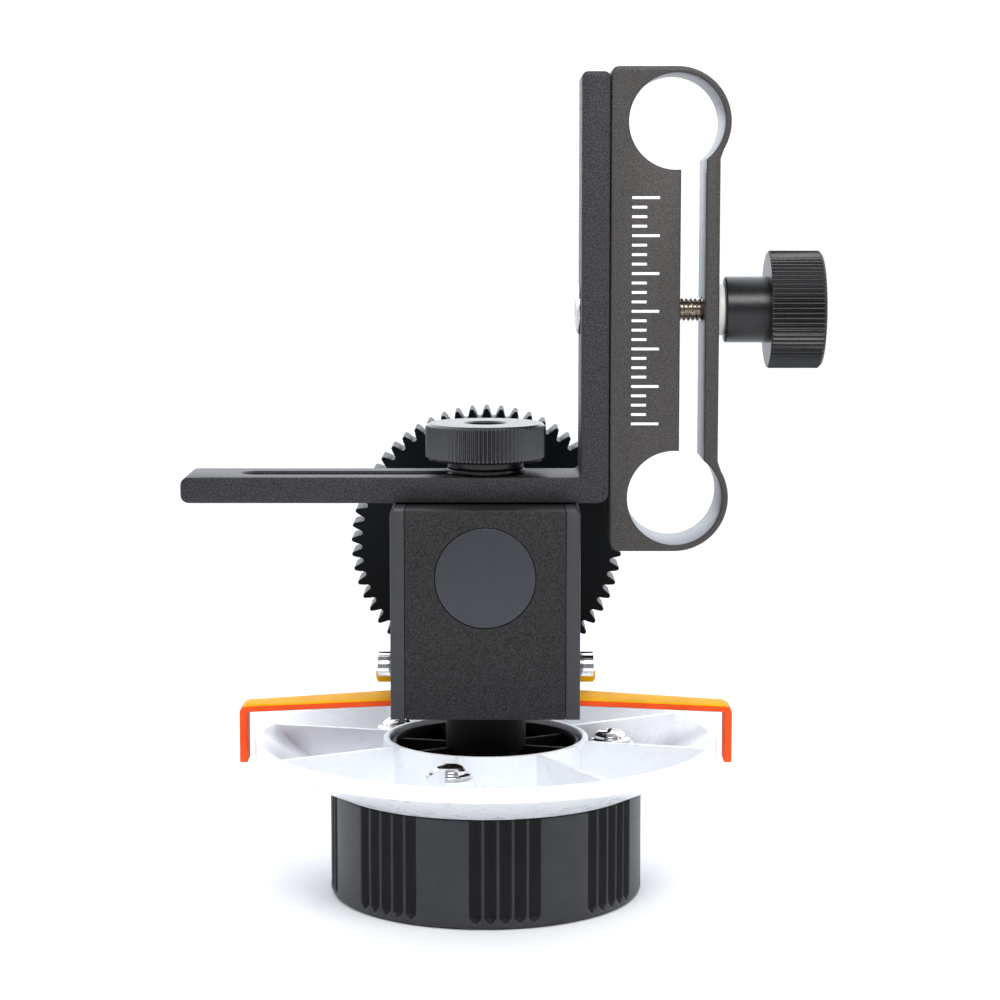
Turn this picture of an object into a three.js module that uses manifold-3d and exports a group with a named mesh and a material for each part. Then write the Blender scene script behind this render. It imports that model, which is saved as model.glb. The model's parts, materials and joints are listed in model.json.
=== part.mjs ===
// A geared follow focus. A handwheel on an upright shaft turns a toothed drive gear through a pair of mitre
// gears, and a slotted L bracket carries the gearbox on a clamp for two 15 mm rods.
// Millimetres, +Z up. The origin is the centre of the handwheel's outer face, +X points to the rod clamp and
// +Y to the drive gear.

import Module from 'manifold-3d';
import * as THREE from 'three';
import { mergeVertices } from 'three/addons/utils/BufferGeometryUtils.js';

const wasm = await Module();
wasm.setup();

// ---------------------------------------------------------------- driving dimensions

const ROD_SPACING = 60;
const ROD_BORE = 7.6;
const CLAMP_HALF_DEPTH = 7.25;

const DRIVE_MODULE = 0.8;
const DRIVE_TEETH = 57;
const DRIVE_FRONT = 26.7;
const DRIVE_WIDTH = 9;

const BOX_HALF_WIDTH = 15.1;
const BOX_HALF_DEPTH = 14.7;
const BOX_BOTTOM = 31.3;
const BOX_TOP = 65;
const SHAFT_HEIGHT = 54.1;

const WHEEL_RADIUS = 25.7;
const WHEEL_HEIGHT = 17.6;
const DISC_RADIUS = 38.1;

const ARM_BOTTOM = 65.2;
const ARM_THICKNESS = 4.2;
const ARM_LEFT = -49.1;

// ---------------------------------------------------------------- shared fits and sizes

const SEAM = 0.05;
const FIT = 0.15;
const GAP = 0.3;
const PAST = 1;
const QUARTER_TURN = Math.PI / 2;
const TAU = Math.PI * 2;
const FINE = 36;
const ROUND = 20;
const SMALL = 10;

const KNURL_DEPTH = 0.5;
const KNURL_NOTCHES = 28;

const SHAFT_RADIUS = 3;
const SHAFT_FIT = 0.12;
const BEARING_RADIUS = 6.5;
const BEARING_WIDTH = 3.5;
const M2 = 1;
const M25 = 1.25;
const M3 = 1.5;
const M4 = 1.95;
const M5 = 2.35;

// ---------------------------------------------------------------- materials

function material(color, roughness, metalness) {
  return new THREE.MeshStandardMaterial({ color, roughness, metalness });
}

const anodised = material(0x3b393c, 0.55, 0.7);
const clampGrey = material(0x494541, 0.55, 0.7);
const capGrey = material(0x45474f, 0.35, 0.6);
const blackPlastic = material(0x17181a, 0.5, 0);
const gearPlastic = material(0x101113, 0.45, 0);
const whitePlastic = material(0xf2f2f4, 0.3, 0);
const nylon = material(0xe6e6e2, 0.4, 0);
const orangePaint = material(0xff5128, 0.5, 0);
const steel = material(0xb9bbbf, 0.25, 1);
const chrome = material(0xd8d9dc, 0.12, 1);
const brass = material(0xb5924c, 0.35, 1);

// ---------------------------------------------------------------- joining and cutting

// Position-only geometry with shared vertices, without the triangles that close up on an axis.
function weld(geometry) {
  const bare = geometry.clone();
  bare.deleteAttribute('normal');
  bare.deleteAttribute('uv');
  const merged = mergeVertices(bare);
  const corners = merged.index.array;
  const kept = [];
  for (let start = 0; start < corners.length; start += 3) {
    const [a, b, c] = corners.slice(start, start + 3);
    if (a !== b && b !== c && c !== a) kept.push(a, b, c);
  }
  merged.setIndex(kept);
  return merged;
}

function solid(geometry) {
  const welded = weld(geometry);
  return new wasm.Manifold(new wasm.Mesh({
    numProp: 3,
    vertProperties: new Float32Array(welded.attributes.position.array),
    triVerts: new Uint32Array(welded.index.array),
  }));
}

function surface(body) {
  const mesh = body.getMesh();
  const geometry = new THREE.BufferGeometry();
  geometry.setAttribute('position', new THREE.BufferAttribute(mesh.vertProperties, 3));
  geometry.setIndex(new THREE.BufferAttribute(mesh.triVerts, 1));
  return geometry;
}

function join(first, ...others) {
  return surface(others.reduce((sum, other) => sum.add(solid(other)), solid(first)));
}

function cut(base, ...tools) {
  return surface(tools.reduce((rest, tool) => rest.subtract(solid(tool)), solid(base)));
}

function common(first, second) {
  return surface(solid(first).intersect(solid(second)));
}

// ---------------------------------------------------------------- basic shapes

function block([x0, x1], [y0, y1], [z0, z1]) {
  const geometry = new THREE.BoxGeometry(x1 - x0, y1 - y0, z1 - z0);
  return geometry.translate((x0 + x1) / 2, (y0 + y1) / 2, (z0 + z1) / 2);
}

// A round bar along Z.
function bar(radius, from, to, facets = SMALL) {
  const geometry = new THREE.CylinderGeometry(radius, radius, to - from, facets);
  return geometry.rotateX(QUARTER_TURN).translate(0, 0, (from + to) / 2);
}

// A solid of revolution about Z. The profile is a list of [radius, height], from the bottom up the outside.
function turned(profile, facets = ROUND) {
  const points = profile.map(([radius, height]) => new THREE.Vector2(radius, height));
  return new THREE.LatheGeometry(points, facets).rotateX(QUARTER_TURN);
}

function ring(inner, outer, from, to, facets = ROUND) {
  return turned([[inner, from], [outer, from], [outer, to], [inner, to], [inner, from]], facets);
}

// A prism along Z.
function prism(shape, from, to) {
  const options = { depth: to - from, bevelEnabled: false, curveSegments: 8 };
  const geometry = new THREE.ExtrudeGeometry(shape, options);
  return geometry.translate(0, 0, from);
}

// A plate standing in the XZ plane. The shape's own Y is the plate's height.
function upright(shape, front, back) {
  return prism(shape, 0, back - front).rotateX(QUARTER_TURN).translate(0, back, 0);
}

const alongX = (geometry) => geometry.rotateY(QUARTER_TURN);
const alongY = (geometry) => geometry.rotateX(-QUARTER_TURN);

const polar = (radius, angle) => new THREE.Vector2(radius * Math.cos(angle), radius * Math.sin(angle));

// A closed outline through corners [x, y, radius], each rounded by its own radius.
function rounded(corners) {
  const vector = ([x, y]) => new THREE.Vector2(x, y);
  const points = corners.flatMap((entry, index) => {
    const corner = vector(entry);
    const radius = entry[2] ?? 0;
    if (radius === 0) return [corner];
    const toBefore = vector(corners.at(index - 1)).sub(corner).normalize();
    const toAfter = vector(corners[(index + 1) % corners.length]).sub(corner).normalize();
    const halfAngle = Math.acos(toBefore.dot(toAfter)) / 2;
    const inward = toBefore.clone().add(toAfter).normalize();
    const centre = corner.clone().addScaledVector(inward, radius / Math.sin(halfAngle));
    const start = corner.clone().addScaledVector(toBefore, radius / Math.tan(halfAngle)).sub(centre).angle();
    const end = corner.clone().addScaledVector(toAfter, radius / Math.tan(halfAngle)).sub(centre).angle();
    const sweep = THREE.MathUtils.euclideanModulo(end - start + Math.PI, TAU) - Math.PI;
    const steps = 4;
    return Array.from({ length: steps + 1 }, (_, step) => (
      polar(radius, start + (sweep * step) / steps).add(centre)));
  });
  return new THREE.Shape(points);
}

// A round-ended slot along X.
function slotOutline(left, right, halfWidth) {
  const shape = new THREE.Shape();
  shape.absarc(right - halfWidth, 0, halfWidth, -QUARTER_TURN, QUARTER_TURN);
  shape.absarc(left + halfWidth, 0, halfWidth, QUARTER_TURN, 3 * QUARTER_TURN);
  return shape;
}

// The outline of a knurled head: straight-sided notches round a circle.
function knurlOutline(radius) {
  return new THREE.Shape(Array.from({ length: KNURL_NOTCHES * 2 }, (_, index) => (
    polar(radius - (index % 2) * KNURL_DEPTH, (index * TAU) / (KNURL_NOTCHES * 2)))));
}

// ---------------------------------------------------------------- scene helpers

const focus = new THREE.Group();

function add(name, geometry, look, parent = focus) {
  const mesh = new THREE.Mesh(weld(geometry), look);
  mesh.geometry.computeVertexNormals();
  mesh.name = name;
  parent.add(mesh);
  return mesh;
}

// A screw along Z, its head's underside at height 0 and its shank below.
function screw(headRadius, headHeight, shankRadius, length) {
  return turned([
    [0, -length], [shankRadius, -length], [shankRadius, 0],
    [headRadius, 0], [headRadius, headHeight * 0.75], [headRadius * 0.85, headHeight], [0, headHeight],
  ], SMALL);
}

// ---------------------------------------------------------------- gear teeth

const PRESSURE_ANGLE = THREE.MathUtils.degToRad(20);
const involute = (angle) => Math.tan(angle) - angle;

// Half a tooth's thickness, measured along the circle of the given radius.
function halfTooth(radius, pitchRadius, module, backlash) {
  const baseRadius = pitchRadius * Math.cos(PRESSURE_ANGLE);
  const slope = Math.acos(Math.min(1, baseRadius / radius));
  const pitchHalf = (QUARTER_TURN * module - backlash) / 2;
  return radius * (pitchHalf / pitchRadius + involute(PRESSURE_ANGLE) - involute(slope));
}

// Heights of a tooth's root and tip over the pitch circle, in modules.
const ROOT = -1.25;
const TIP = 1;

function spurOutline(module, teeth, backlash) {
  const pitchRadius = (module * teeth) / 2;
  const flank = [ROOT, TIP].map((height) => {
    const radius = pitchRadius + height * module;
    return [radius, halfTooth(radius, pitchRadius, module, backlash) / radius];
  });
  const points = [];
  for (let tooth = 0; tooth < teeth; tooth += 1) {
    const middle = (tooth * TAU) / teeth;
    flank.forEach(([radius, half]) => points.push(polar(radius, middle - half)));
    flank.toReversed().forEach(([radius, half]) => points.push(polar(radius, middle + half)));
  }
  return new THREE.Shape(points);
}

// A 45 degree bevel gear below its apex at the origin, as a ring of teeth that shrinks towards the apex.
function bevelTeeth(module, teeth, faceShare, backlash) {
  const pitchRadius = (module * teeth) / 2;
  const backRadius = pitchRadius * Math.SQRT2;
  const flank = [ROOT, 0, TIP].map((height) => {
    const rise = height * module * Math.SQRT1_2;
    const radius = pitchRadius + rise;
    const half = halfTooth(backRadius + height * module, backRadius, module, backlash) / radius;
    return { radius, half, height: rise - pitchRadius };
  });
  const loop = [];
  for (let tooth = 0; tooth < teeth; tooth += 1) {
    const middle = (tooth * TAU) / teeth;
    const place = (side) => ({ radius, half, height }) => {
      const point = polar(radius, middle + side * half);
      return [point.x, point.y, height];
    };
    loop.push(...flank.map(place(-1)), ...flank.toReversed().map(place(1)));
  }
  const scaled = (share) => loop.map((point) => point.map((value) => value * share));
  const ends = [[0, 0, flank[0].height], [0, 0, flank[0].height * faceShare]];
  const positions = [...scaled(1), ...scaled(faceShare), ...ends];
  const count = loop.length;
  const triangles = [];
  for (let here = 0; here < count; here += 1) {
    const next = (here + 1) % count;
    triangles.push(here, next, count + next, here, count + next, count + here);
    triangles.push(next, here, 2 * count, count + here, count + next, 2 * count + 1);
  }
  const geometry = new THREE.BufferGeometry();
  geometry.setAttribute('position', new THREE.Float32BufferAttribute(positions.flat(), 3));
  geometry.setIndex(triangles);
  return geometry;
}

// ---------------------------------------------------------------- gearbox housing

const SIDE_PLATE = 2.3;
const CORE_HALF_WIDTH = BOX_HALF_WIDTH - SIDE_PLATE - SEAM;
const REAR_PLATE = 2.35;
const CORE_BACK = BOX_HALF_DEPTH - REAR_PLATE - SEAM;
const FLOOR_TOP = 41.9;
const CEILING = 60;
const FRONT_WALL_BACK = -11.5;
const CAP_RADIUS = 8;
const CAP_THICKNESS = 1.2;
const SIDE_SCREW_HEIGHT = 37.2;
const UPPER_SCREW_HEIGHT = 62.3;
const UPPER_SCREW_Y = -8;
const GUIDE_PIN_X = -7.5;
const GUIDE_PIN_RADIUS = 2.3;
const STRIP_THICKNESS = 1.25;
const STRIP_GROOVE_TOP = BOX_BOTTOM + STRIP_THICKNESS + GAP;
const STRIP_HUB_RADIUS = 10.5;
const STRIP_INNER_HALF = 4;
const STRIP_OUTER_HALF = 2.5;
const STRIP_SCREW_Y = 8.7;
const REAR_SCREW_X = 9.8;
const LOWER_BEARING = 34.5;
const FRONT_BEARING = -13.4;
const REAR_BEARING = 13;
const LIP_BORE = 5.2;
const BEARING_BOSS_RADIUS = 8.4;
const BEARING_BOSS_BACK = -9.2;
const MITRE_ROOM_RADIUS = 9.3;
const MITRE_ROOM_FRONT = 3.6;
const REAR_BOSS_RADIUS = 9;
const REAR_BOSS_END = 18;
const REAR_LIP_BORE = 4.5;
const GUIDE_PIN_FOOT = 61;
const SINK_RADIUS = 2.6;
const SINK_DEPTH = 1.2;
const SUNK_LENGTH = 6.5;

// Each screw's head radius, head height, shank radius and length under the head.
const SIDE_SCREW = [2.5, 2.9, M3, 7.5];
const REAR_SCREW = [2.2, 1.5, M25, 7.5];
const STRIP_SCREW = [1.7, 0.9, M2, 4.5];
const GEAR_SCREW = [2.8, 2, M3, 8];
const WHEEL_SCREW = [2.8, 1.9, M3, 8];

const shaftLevel = (geometry) => geometry.translate(0, 0, SHAFT_HEIGHT);

// The milled core: front wall, floor block and ceiling block in one piece, open at both sides and the back.
function gearboxCore() {
  const width = [-CORE_HALF_WIDTH, CORE_HALF_WIDTH];
  const outside = block(width, [-BOX_HALF_DEPTH, CORE_BACK], [BOX_BOTTOM, BOX_TOP]);
  const inside = block(
    [-CORE_HALF_WIDTH - PAST, CORE_HALF_WIDTH + PAST],
    [FRONT_WALL_BACK, CORE_BACK + PAST],
    [FLOOR_TOP, CEILING],
  );
  const mitreRoom = shaftLevel(alongY(bar(MITRE_ROOM_RADIUS, MITRE_ROOM_FRONT, CORE_BACK + PAST, ROUND)));
  const bearingBoss = shaftLevel(
    alongY(bar(BEARING_BOSS_RADIUS, FRONT_WALL_BACK - PAST, BEARING_BOSS_BACK, ROUND)),
  );
  const seatFront = FRONT_BEARING - FIT;
  const seatBack = FRONT_BEARING + BEARING_WIDTH + FIT;
  const frontBore = [
    alongY(bar(CAP_RADIUS + FIT, -BOX_HALF_DEPTH - PAST, -BOX_HALF_DEPTH + CAP_THICKNESS, FINE)),
    alongY(bar(BEARING_RADIUS + FIT, seatFront - FIT, seatBack, ROUND)),
    alongY(bar(LIP_BORE, seatFront, BEARING_BOSS_BACK + PAST, ROUND)),
  ].map(shaftLevel);
  const floorBore = [
    bar(LIP_BORE, BOX_BOTTOM - PAST, FLOOR_TOP, ROUND),
    bar(BEARING_RADIUS + FIT, LOWER_BEARING - FIT, FLOOR_TOP + PAST, ROUND),
  ];
  const stripRecess = [
    bar(STRIP_HUB_RADIUS + GAP, BOX_BOTTOM - PAST, STRIP_GROOVE_TOP, ROUND),
    stripGroove(),
  ];
  const stripHoles = [-STRIP_SCREW_Y, STRIP_SCREW_Y].map((y) => (
    bar(M2 + FIT, BOX_BOTTOM, BOX_BOTTOM + STRIP_SCREW[3] + PAST).translate(0, y, 0)));
  const sideHoles = [-1, 1].flatMap((side) => [
    alongX(bar(M3 + FIT, BOX_HALF_WIDTH - SIDE_SCREW[3] - GAP, BOX_HALF_WIDTH))
      .scale(side, side, 1).translate(0, 0, SIDE_SCREW_HEIGHT),
    alongX(bar(M25 + FIT, BOX_HALF_WIDTH - SUNK_LENGTH - GAP, BOX_HALF_WIDTH))
      .scale(side, side, 1).translate(0, UPPER_SCREW_Y, UPPER_SCREW_HEIGHT),
  ]);
  const rearHoles = rearScrewPlaces().map(([x, z]) => (
    alongY(bar(M25 + FIT, BOX_HALF_DEPTH - REAR_SCREW[3] - GAP, BOX_HALF_DEPTH)).translate(x, 0, z)));
  const topHoles = [
    bar(M5 + GAP, CEILING - PAST, BOX_TOP + PAST),
    bar(GUIDE_PIN_RADIUS + FIT, GUIDE_PIN_FOOT, BOX_TOP + PAST).translate(GUIDE_PIN_X, 0, 0),
  ];
  const shell = join(cut(outside, inside, mitreRoom), bearingBoss);
  const holes = [...frontBore, ...floorBore, ...stripHoles, ...sideHoles, ...rearHoles, ...topHoles];
  return cut(shell, ...stripRecess, ...holes);
}

// Room under the box for the index bracket's arms.
function stripGroove() {
  const half = STRIP_INNER_HALF + GAP;
  const reach = BOX_HALF_WIDTH + PAST;
  return block([-reach, reach], [-half, half], [BOX_BOTTOM - PAST, STRIP_GROOVE_TOP]);
}

function rearScrewPlaces() {
  const heights = [SIDE_SCREW_HEIGHT, UPPER_SCREW_HEIGHT];
  return heights.flatMap((z) => [[-REAR_SCREW_X, z], [REAR_SCREW_X, z]]);
}

// A side plate with its two screw holes. side is 1 for the right-hand one and -1 for the left-hand one.
function sidePlate(side) {
  const bevel = 0.5;
  const corners = [
    [BOX_HALF_WIDTH - SIDE_PLATE, BOX_BOTTOM], [BOX_HALF_WIDTH, BOX_BOTTOM],
    [BOX_HALF_WIDTH, BOX_TOP - bevel], [BOX_HALF_WIDTH - bevel, BOX_TOP],
    [BOX_HALF_WIDTH - SIDE_PLATE, BOX_TOP],
  ];
  const outline = new THREE.Shape(corners.map(([x, z]) => new THREE.Vector2(side * x, z)));
  const plate = upright(outline, -BOX_HALF_DEPTH, BOX_HALF_DEPTH);
  const inner = CORE_HALF_WIDTH - PAST;
  const outer = BOX_HALF_WIDTH + PAST;
  const sink = turned([
    [0, inner], [M25 + FIT, inner], [M25 + FIT, BOX_HALF_WIDTH - SINK_DEPTH], [SINK_RADIUS, BOX_HALF_WIDTH],
    [SINK_RADIUS, outer], [0, outer],
  ], SMALL);
  const facing = side > 0 ? 0 : Math.PI;
  const tools = [
    alongX(bar(M3 + FIT, inner, outer)).rotateZ(facing).translate(0, 0, SIDE_SCREW_HEIGHT),
    alongX(sink).rotateZ(facing).translate(0, UPPER_SCREW_Y, UPPER_SCREW_HEIGHT),
    stripGroove(),
  ];
  return cut(plate, ...tools);
}

// The rear plate carries the output shaft's second bearing in a round boss.
function rearPlate() {
  const front = BOX_HALF_DEPTH - REAR_PLATE;
  const plate = block([-CORE_HALF_WIDTH, CORE_HALF_WIDTH], [front, BOX_HALF_DEPTH], [BOX_BOTTOM, BOX_TOP]);
  const boss = shaftLevel(alongY(bar(REAR_BOSS_RADIUS, front + PAST, REAR_BOSS_END, ROUND)));
  const bores = [
    alongY(bar(BEARING_RADIUS + FIT, front - PAST, REAR_BEARING + BEARING_WIDTH + FIT, ROUND)),
    alongY(bar(REAR_LIP_BORE, front - PAST, REAR_BOSS_END + PAST, ROUND)),
  ].map(shaftLevel);
  const holes = rearScrewPlaces().map(([x, z]) => (
    alongY(bar(M25 + FIT, front - PAST, BOX_HALF_DEPTH + PAST)).translate(x, 0, z)));
  return cut(join(plate, boss), ...bores, ...holes);
}

function buildHousing() {
  add('gearbox_core', gearboxCore(), anodised);
  add('side_plate_left', sidePlate(-1), anodised);
  add('side_plate_right', sidePlate(1), anodised);
  add('rear_plate', rearPlate(), anodised);
  const cap = add('shaft_cap', bar(CAP_RADIUS, 0, CAP_THICKNESS - FIT, FINE), capGrey);
  cap.position.set(0, -BOX_HALF_DEPTH, SHAFT_HEIGHT);
  cap.rotation.x = -QUARTER_TURN;

  const sides = [['left', -1], ['right', 1]];
  for (const [word, side] of sides) {
    const lower = add(`side_screw_${word}`, screw(...SIDE_SCREW), chrome);
    lower.position.set(side * (BOX_HALF_WIDTH + SEAM), 0, SIDE_SCREW_HEIGHT);
    lower.rotation.y = side * QUARTER_TURN;
    const sunk = turned([
      [0, -SUNK_LENGTH], [M25, -SUNK_LENGTH], [M25, -SINK_DEPTH], [SINK_RADIUS - 2 * FIT, -FIT], [0, -FIT],
    ], SMALL);
    const upper = add(`sunk_screw_${word}`, sunk, steel);
    upper.position.set(side * BOX_HALF_WIDTH, UPPER_SCREW_Y, UPPER_SCREW_HEIGHT);
    upper.rotation.y = side * QUARTER_TURN;
  }
  rearScrewPlaces().forEach(([x, z], index) => {
    const rear = add(`rear_screw_${index + 1}`, screw(...REAR_SCREW), steel);
    rear.position.set(x, BOX_HALF_DEPTH + SEAM, z);
    rear.rotation.x = -QUARTER_TURN;
  });

  const pinTop = ARM_BOTTOM + ARM_THICKNESS - 2 * GAP;
  const pin = add('guide_pin', bar(GUIDE_PIN_RADIUS, GUIDE_PIN_FOOT + FIT, pinTop), steel);
  pin.position.x = GUIDE_PIN_X;
}

function bearing(name) {
  return add(name, ring(SHAFT_RADIUS + SHAFT_FIT, BEARING_RADIUS, 0, BEARING_WIDTH), steel);
}

function buildBearings() {
  bearing('input_bearing_lower').position.z = LOWER_BEARING;
  bearing('input_bearing_upper').position.z = LOWER_BEARING + BEARING_WIDTH + FIT;
  const places = [['output_bearing_front', FRONT_BEARING], ['output_bearing_rear', REAR_BEARING]];
  for (const [name, y] of places) {
    const seated = bearing(name);
    seated.position.set(0, y, SHAFT_HEIGHT);
    seated.rotation.x = -QUARTER_TURN;
  }
}

// ---------------------------------------------------------------- index bracket

const STRIP_REACH = 40.5;
const STRIP_TAB_BOTTOM = 21.7;
const STRIP_DROP = 1.4;
const TAB_THICKNESS = 1.35;
const NECK_CLEARANCE = 6.9;

// A bent strip under the gearbox: two drooping arms with a tab at each end that points at the disc.
function indexStrip() {
  const top = BOX_BOTTOM + SEAM + STRIP_THICKNESS;
  const endTop = top - STRIP_DROP;
  const side = [
    [BOX_HALF_WIDTH, top], [STRIP_REACH, endTop, 1.5], [STRIP_REACH, STRIP_TAB_BOTTOM],
    [STRIP_REACH - TAB_THICKNESS, STRIP_TAB_BOTTOM],
    [STRIP_REACH - TAB_THICKNESS, endTop - STRIP_THICKNESS, 0.4],
    [BOX_HALF_WIDTH, top - STRIP_THICKNESS],
  ];
  const mirrored = side.map(([x, z, radius]) => [-x, z, radius]).toReversed();
  const bent = upright(rounded([...side, ...mirrored]), -STRIP_HUB_RADIUS - PAST, STRIP_HUB_RADIUS + PAST);
  const end = STRIP_REACH + PAST;
  const frontEdge = [
    [-end, -STRIP_OUTER_HALF], [-BOX_HALF_WIDTH, -STRIP_INNER_HALF],
    [BOX_HALF_WIDTH, -STRIP_INNER_HALF], [end, -STRIP_OUTER_HALF],
  ];
  const backEdge = frontEdge.map(([x, y]) => [-x, -y]);
  const plan = new THREE.Shape([...frontEdge, ...backEdge].map(([x, y]) => new THREE.Vector2(x, y)));
  const footprint = join(prism(plan, 0, BOX_TOP), bar(STRIP_HUB_RADIUS, 0, BOX_TOP, ROUND));
  const holes = [
    bar(NECK_CLEARANCE, 0, BOX_TOP, ROUND),
    ...[-STRIP_SCREW_Y, STRIP_SCREW_Y].map((y) => bar(M2 + FIT, 0, BOX_TOP).translate(0, y, 0)),
  ];
  return cut(common(bent, footprint), ...holes);
}

function buildIndexBracket() {
  add('index_bracket', indexStrip(), orangePaint);
  [-STRIP_SCREW_Y, STRIP_SCREW_Y].forEach((y, index) => {
    const fixing = add(`index_screw_${index + 1}`, screw(...STRIP_SCREW), steel);
    fixing.position.set(0, y, BOX_BOTTOM);
    fixing.rotation.x = Math.PI;
  });
}

// ---------------------------------------------------------------- gear train

const MITRE_MODULE = 1;
const MITRE_TEETH = 16;
const MITRE_FACE_SHARE = 0.65;
const MITRE_BACKLASH = 0.16;
const MITRE_HUB_END = -11.9;
const MITRE_HUB_RADIUS = 6;
const GRUB_HEIGHT = -10.4;
const GRUB_RADIUS = 1.2;
const GRUB_END = 5.6;
const FLAT_DEPTH = 0.7;

// A mitre gear with its hub and grub screw, in a group whose origin is the cone's apex.
function mitreGear(prefix, toothShift) {
  const group = new THREE.Group();
  const teeth = bevelTeeth(MITRE_MODULE, MITRE_TEETH, MITRE_FACE_SHARE, MITRE_BACKLASH).rotateZ(toothShift);
  const toothRoot = (ROOT * Math.SQRT1_2 - MITRE_TEETH / 2) * MITRE_MODULE;
  const blank = join(teeth, bar(MITRE_HUB_RADIUS, MITRE_HUB_END, toothRoot + GAP));
  const gear = cut(
    blank,
    bar(SHAFT_RADIUS + GAP, MITRE_HUB_END - PAST, 0),
    alongX(bar(M25 + FIT, 0, MITRE_HUB_RADIUS + PAST)).translate(0, 0, GRUB_HEIGHT),
  );
  add(`${prefix}_mitre_gear`, gear, brass, group);
  const grub = alongX(bar(GRUB_RADIUS, SHAFT_RADIUS + GAP, GRUB_END)).translate(0, 0, GRUB_HEIGHT);
  add(`${prefix}_grub_screw`, grub, steel, group);
  group.position.z = SHAFT_HEIGHT;
  focus.add(group);
  return group;
}

// The flat that a shaft is cut with, or the flat left in a bore that fits it loosely.
const flat = (from, to, slack = 0) => (
  block([SHAFT_RADIUS - FLAT_DEPTH + slack, 2 * SHAFT_RADIUS], [-SHAFT_RADIUS, SHAFT_RADIUS], [from, to]));

const INPUT_BOTTOM = 6.2;
const INPUT_TOP = 49.6;
const INPUT_FLAT_TOP = 24;
const SPACER_RADIUS = 4.8;
const SPACER_BOTTOM = 31.25;

function buildInputShaft() {
  const shaft = cut(
    bar(SHAFT_RADIUS, INPUT_BOTTOM, INPUT_TOP, ROUND),
    bar(M3 + FIT, INPUT_BOTTOM - PAST, INPUT_BOTTOM + WHEEL_SCREW[3]),
    flat(INPUT_BOTTOM - PAST, INPUT_FLAT_TOP),
  );
  add('input_shaft', shaft, steel);
  mitreGear('input', 0);
  const spacer = ring(SHAFT_RADIUS + SHAFT_FIT, SPACER_RADIUS, SPACER_BOTTOM, LOWER_BEARING - FIT);
  add('shaft_spacer', spacer, brass);
}

const OUTPUT_FRONT = -13.2;
const COLLAR_RADIUS = 6;
const CLIP_RADIUS = 4.6;
const CLIP_THICKNESS = 0.6;
const CLIP_Y = -8.9;
const CLIP_OPENING = 0.9;

function buildOutputShaft() {
  const collarFront = REAR_BOSS_END + GAP;
  const collarBack = DRIVE_FRONT - GAP;
  const end = DRIVE_FRONT + DRIVE_WIDTH - GAP;
  const shaft = cut(
    turned([
      [0, OUTPUT_FRONT], [SHAFT_RADIUS, OUTPUT_FRONT],
      [SHAFT_RADIUS, collarFront], [COLLAR_RADIUS, collarFront],
      [COLLAR_RADIUS, collarBack], [SHAFT_RADIUS, collarBack],
      [SHAFT_RADIUS, end], [0, end],
    ]),
    bar(M3 + FIT, end - GEAR_SCREW[3], end + PAST),
    flat(collarBack, end + PAST),
  );
  const mesh = add('output_shaft', shaft, steel);
  mesh.position.z = SHAFT_HEIGHT;
  mesh.rotation.x = -QUARTER_TURN;

  mitreGear('output', Math.PI / MITRE_TEETH).rotation.x = QUARTER_TURN;

  const clipShape = new THREE.Shape();
  clipShape.absarc(0, 0, CLIP_RADIUS, CLIP_OPENING, TAU - CLIP_OPENING);
  clipShape.absarc(0, 0, SHAFT_RADIUS + SHAFT_FIT, TAU - CLIP_OPENING, CLIP_OPENING, true);
  const clip = add('output_clip', prism(clipShape, 0, CLIP_THICKNESS), steel);
  clip.position.set(0, CLIP_Y, SHAFT_HEIGHT);
  clip.rotation.x = -QUARTER_TURN;
}

const DRIVE_BACKLASH = 0.1;
const WEB_INNER = 9;
const WEB_OUTER = 18.5;
const WEB_DEPTH = 1.5;
const GEAR_WASHER_RADIUS = 5.5;
const GEAR_WASHER_THICKNESS = 0.8;

function buildDriveGear() {
  const back = DRIVE_WIDTH;
  const teeth = prism(spurOutline(DRIVE_MODULE, DRIVE_TEETH, DRIVE_BACKLASH), 0, back).rotateZ(-QUARTER_TURN);
  const bore = cut(
    bar(SHAFT_RADIUS + SHAFT_FIT, -PAST, back + PAST, ROUND),
    flat(-2 * PAST, back + 2 * PAST, SHAFT_FIT),
  );
  const web = ring(WEB_INNER, WEB_OUTER, back - WEB_DEPTH, back + PAST, FINE);
  const gear = cut(teeth, bore, web);
  const mesh = add('drive_gear', gear, gearPlastic);
  mesh.position.set(0, DRIVE_FRONT, SHAFT_HEIGHT);
  mesh.rotation.x = -QUARTER_TURN;

  const washerTop = DRIVE_FRONT + DRIVE_WIDTH + SEAM + GEAR_WASHER_THICKNESS;
  const washer = add('gear_washer', ring(M3 + GAP, GEAR_WASHER_RADIUS, -GEAR_WASHER_THICKNESS, 0), steel);
  const retainer = add('gear_screw', screw(...GEAR_SCREW), steel);
  washer.position.set(0, washerTop, SHAFT_HEIGHT);
  retainer.position.set(0, washerTop + SEAM, SHAFT_HEIGHT);
  washer.rotation.x = -QUARTER_TURN;
  retainer.rotation.x = -QUARTER_TURN;
}

// ---------------------------------------------------------------- handwheel and marking disc

const GRIP_GROUPS = 8;
const GRIP_FIRST_DEG = -82.85;
const GROOVES = 5;
const GROOVE_PITCH_DEG = 5.27;
const GROOVE_DEPTH = 0.7;
const RIM_BEVEL = 0.7;
const RIM_FOOT = 2;
const WHEEL_FACE = 2.6;
const SKIRT_INNER = 23.2;
const HUB_RING_OUTER = 15.5;
const HUB_RING_INNER = 14.8;
const HUB_RING_TOP = 25;
const NECK_RADIUS = 6.6;
const NECK_TOP = 31;
const RIBS = 8;
const FIRST_RIB_DEG = -15;
const FIXING_RADIUS = 21.5;
const FIXING_DEGREES = [-105, 15, 135];
const DISC_BOTTOM = WHEEL_HEIGHT + 0.2;
const DISC_FLOOR = 19.6;
const DISC_TOP = 25.7;
const DISC_BORE = 15.9;
const FIXING_SEAT = 23.4;
const FIXING_LENGTH = 14;
const FIXING_POCKET = 4.1;
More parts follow.
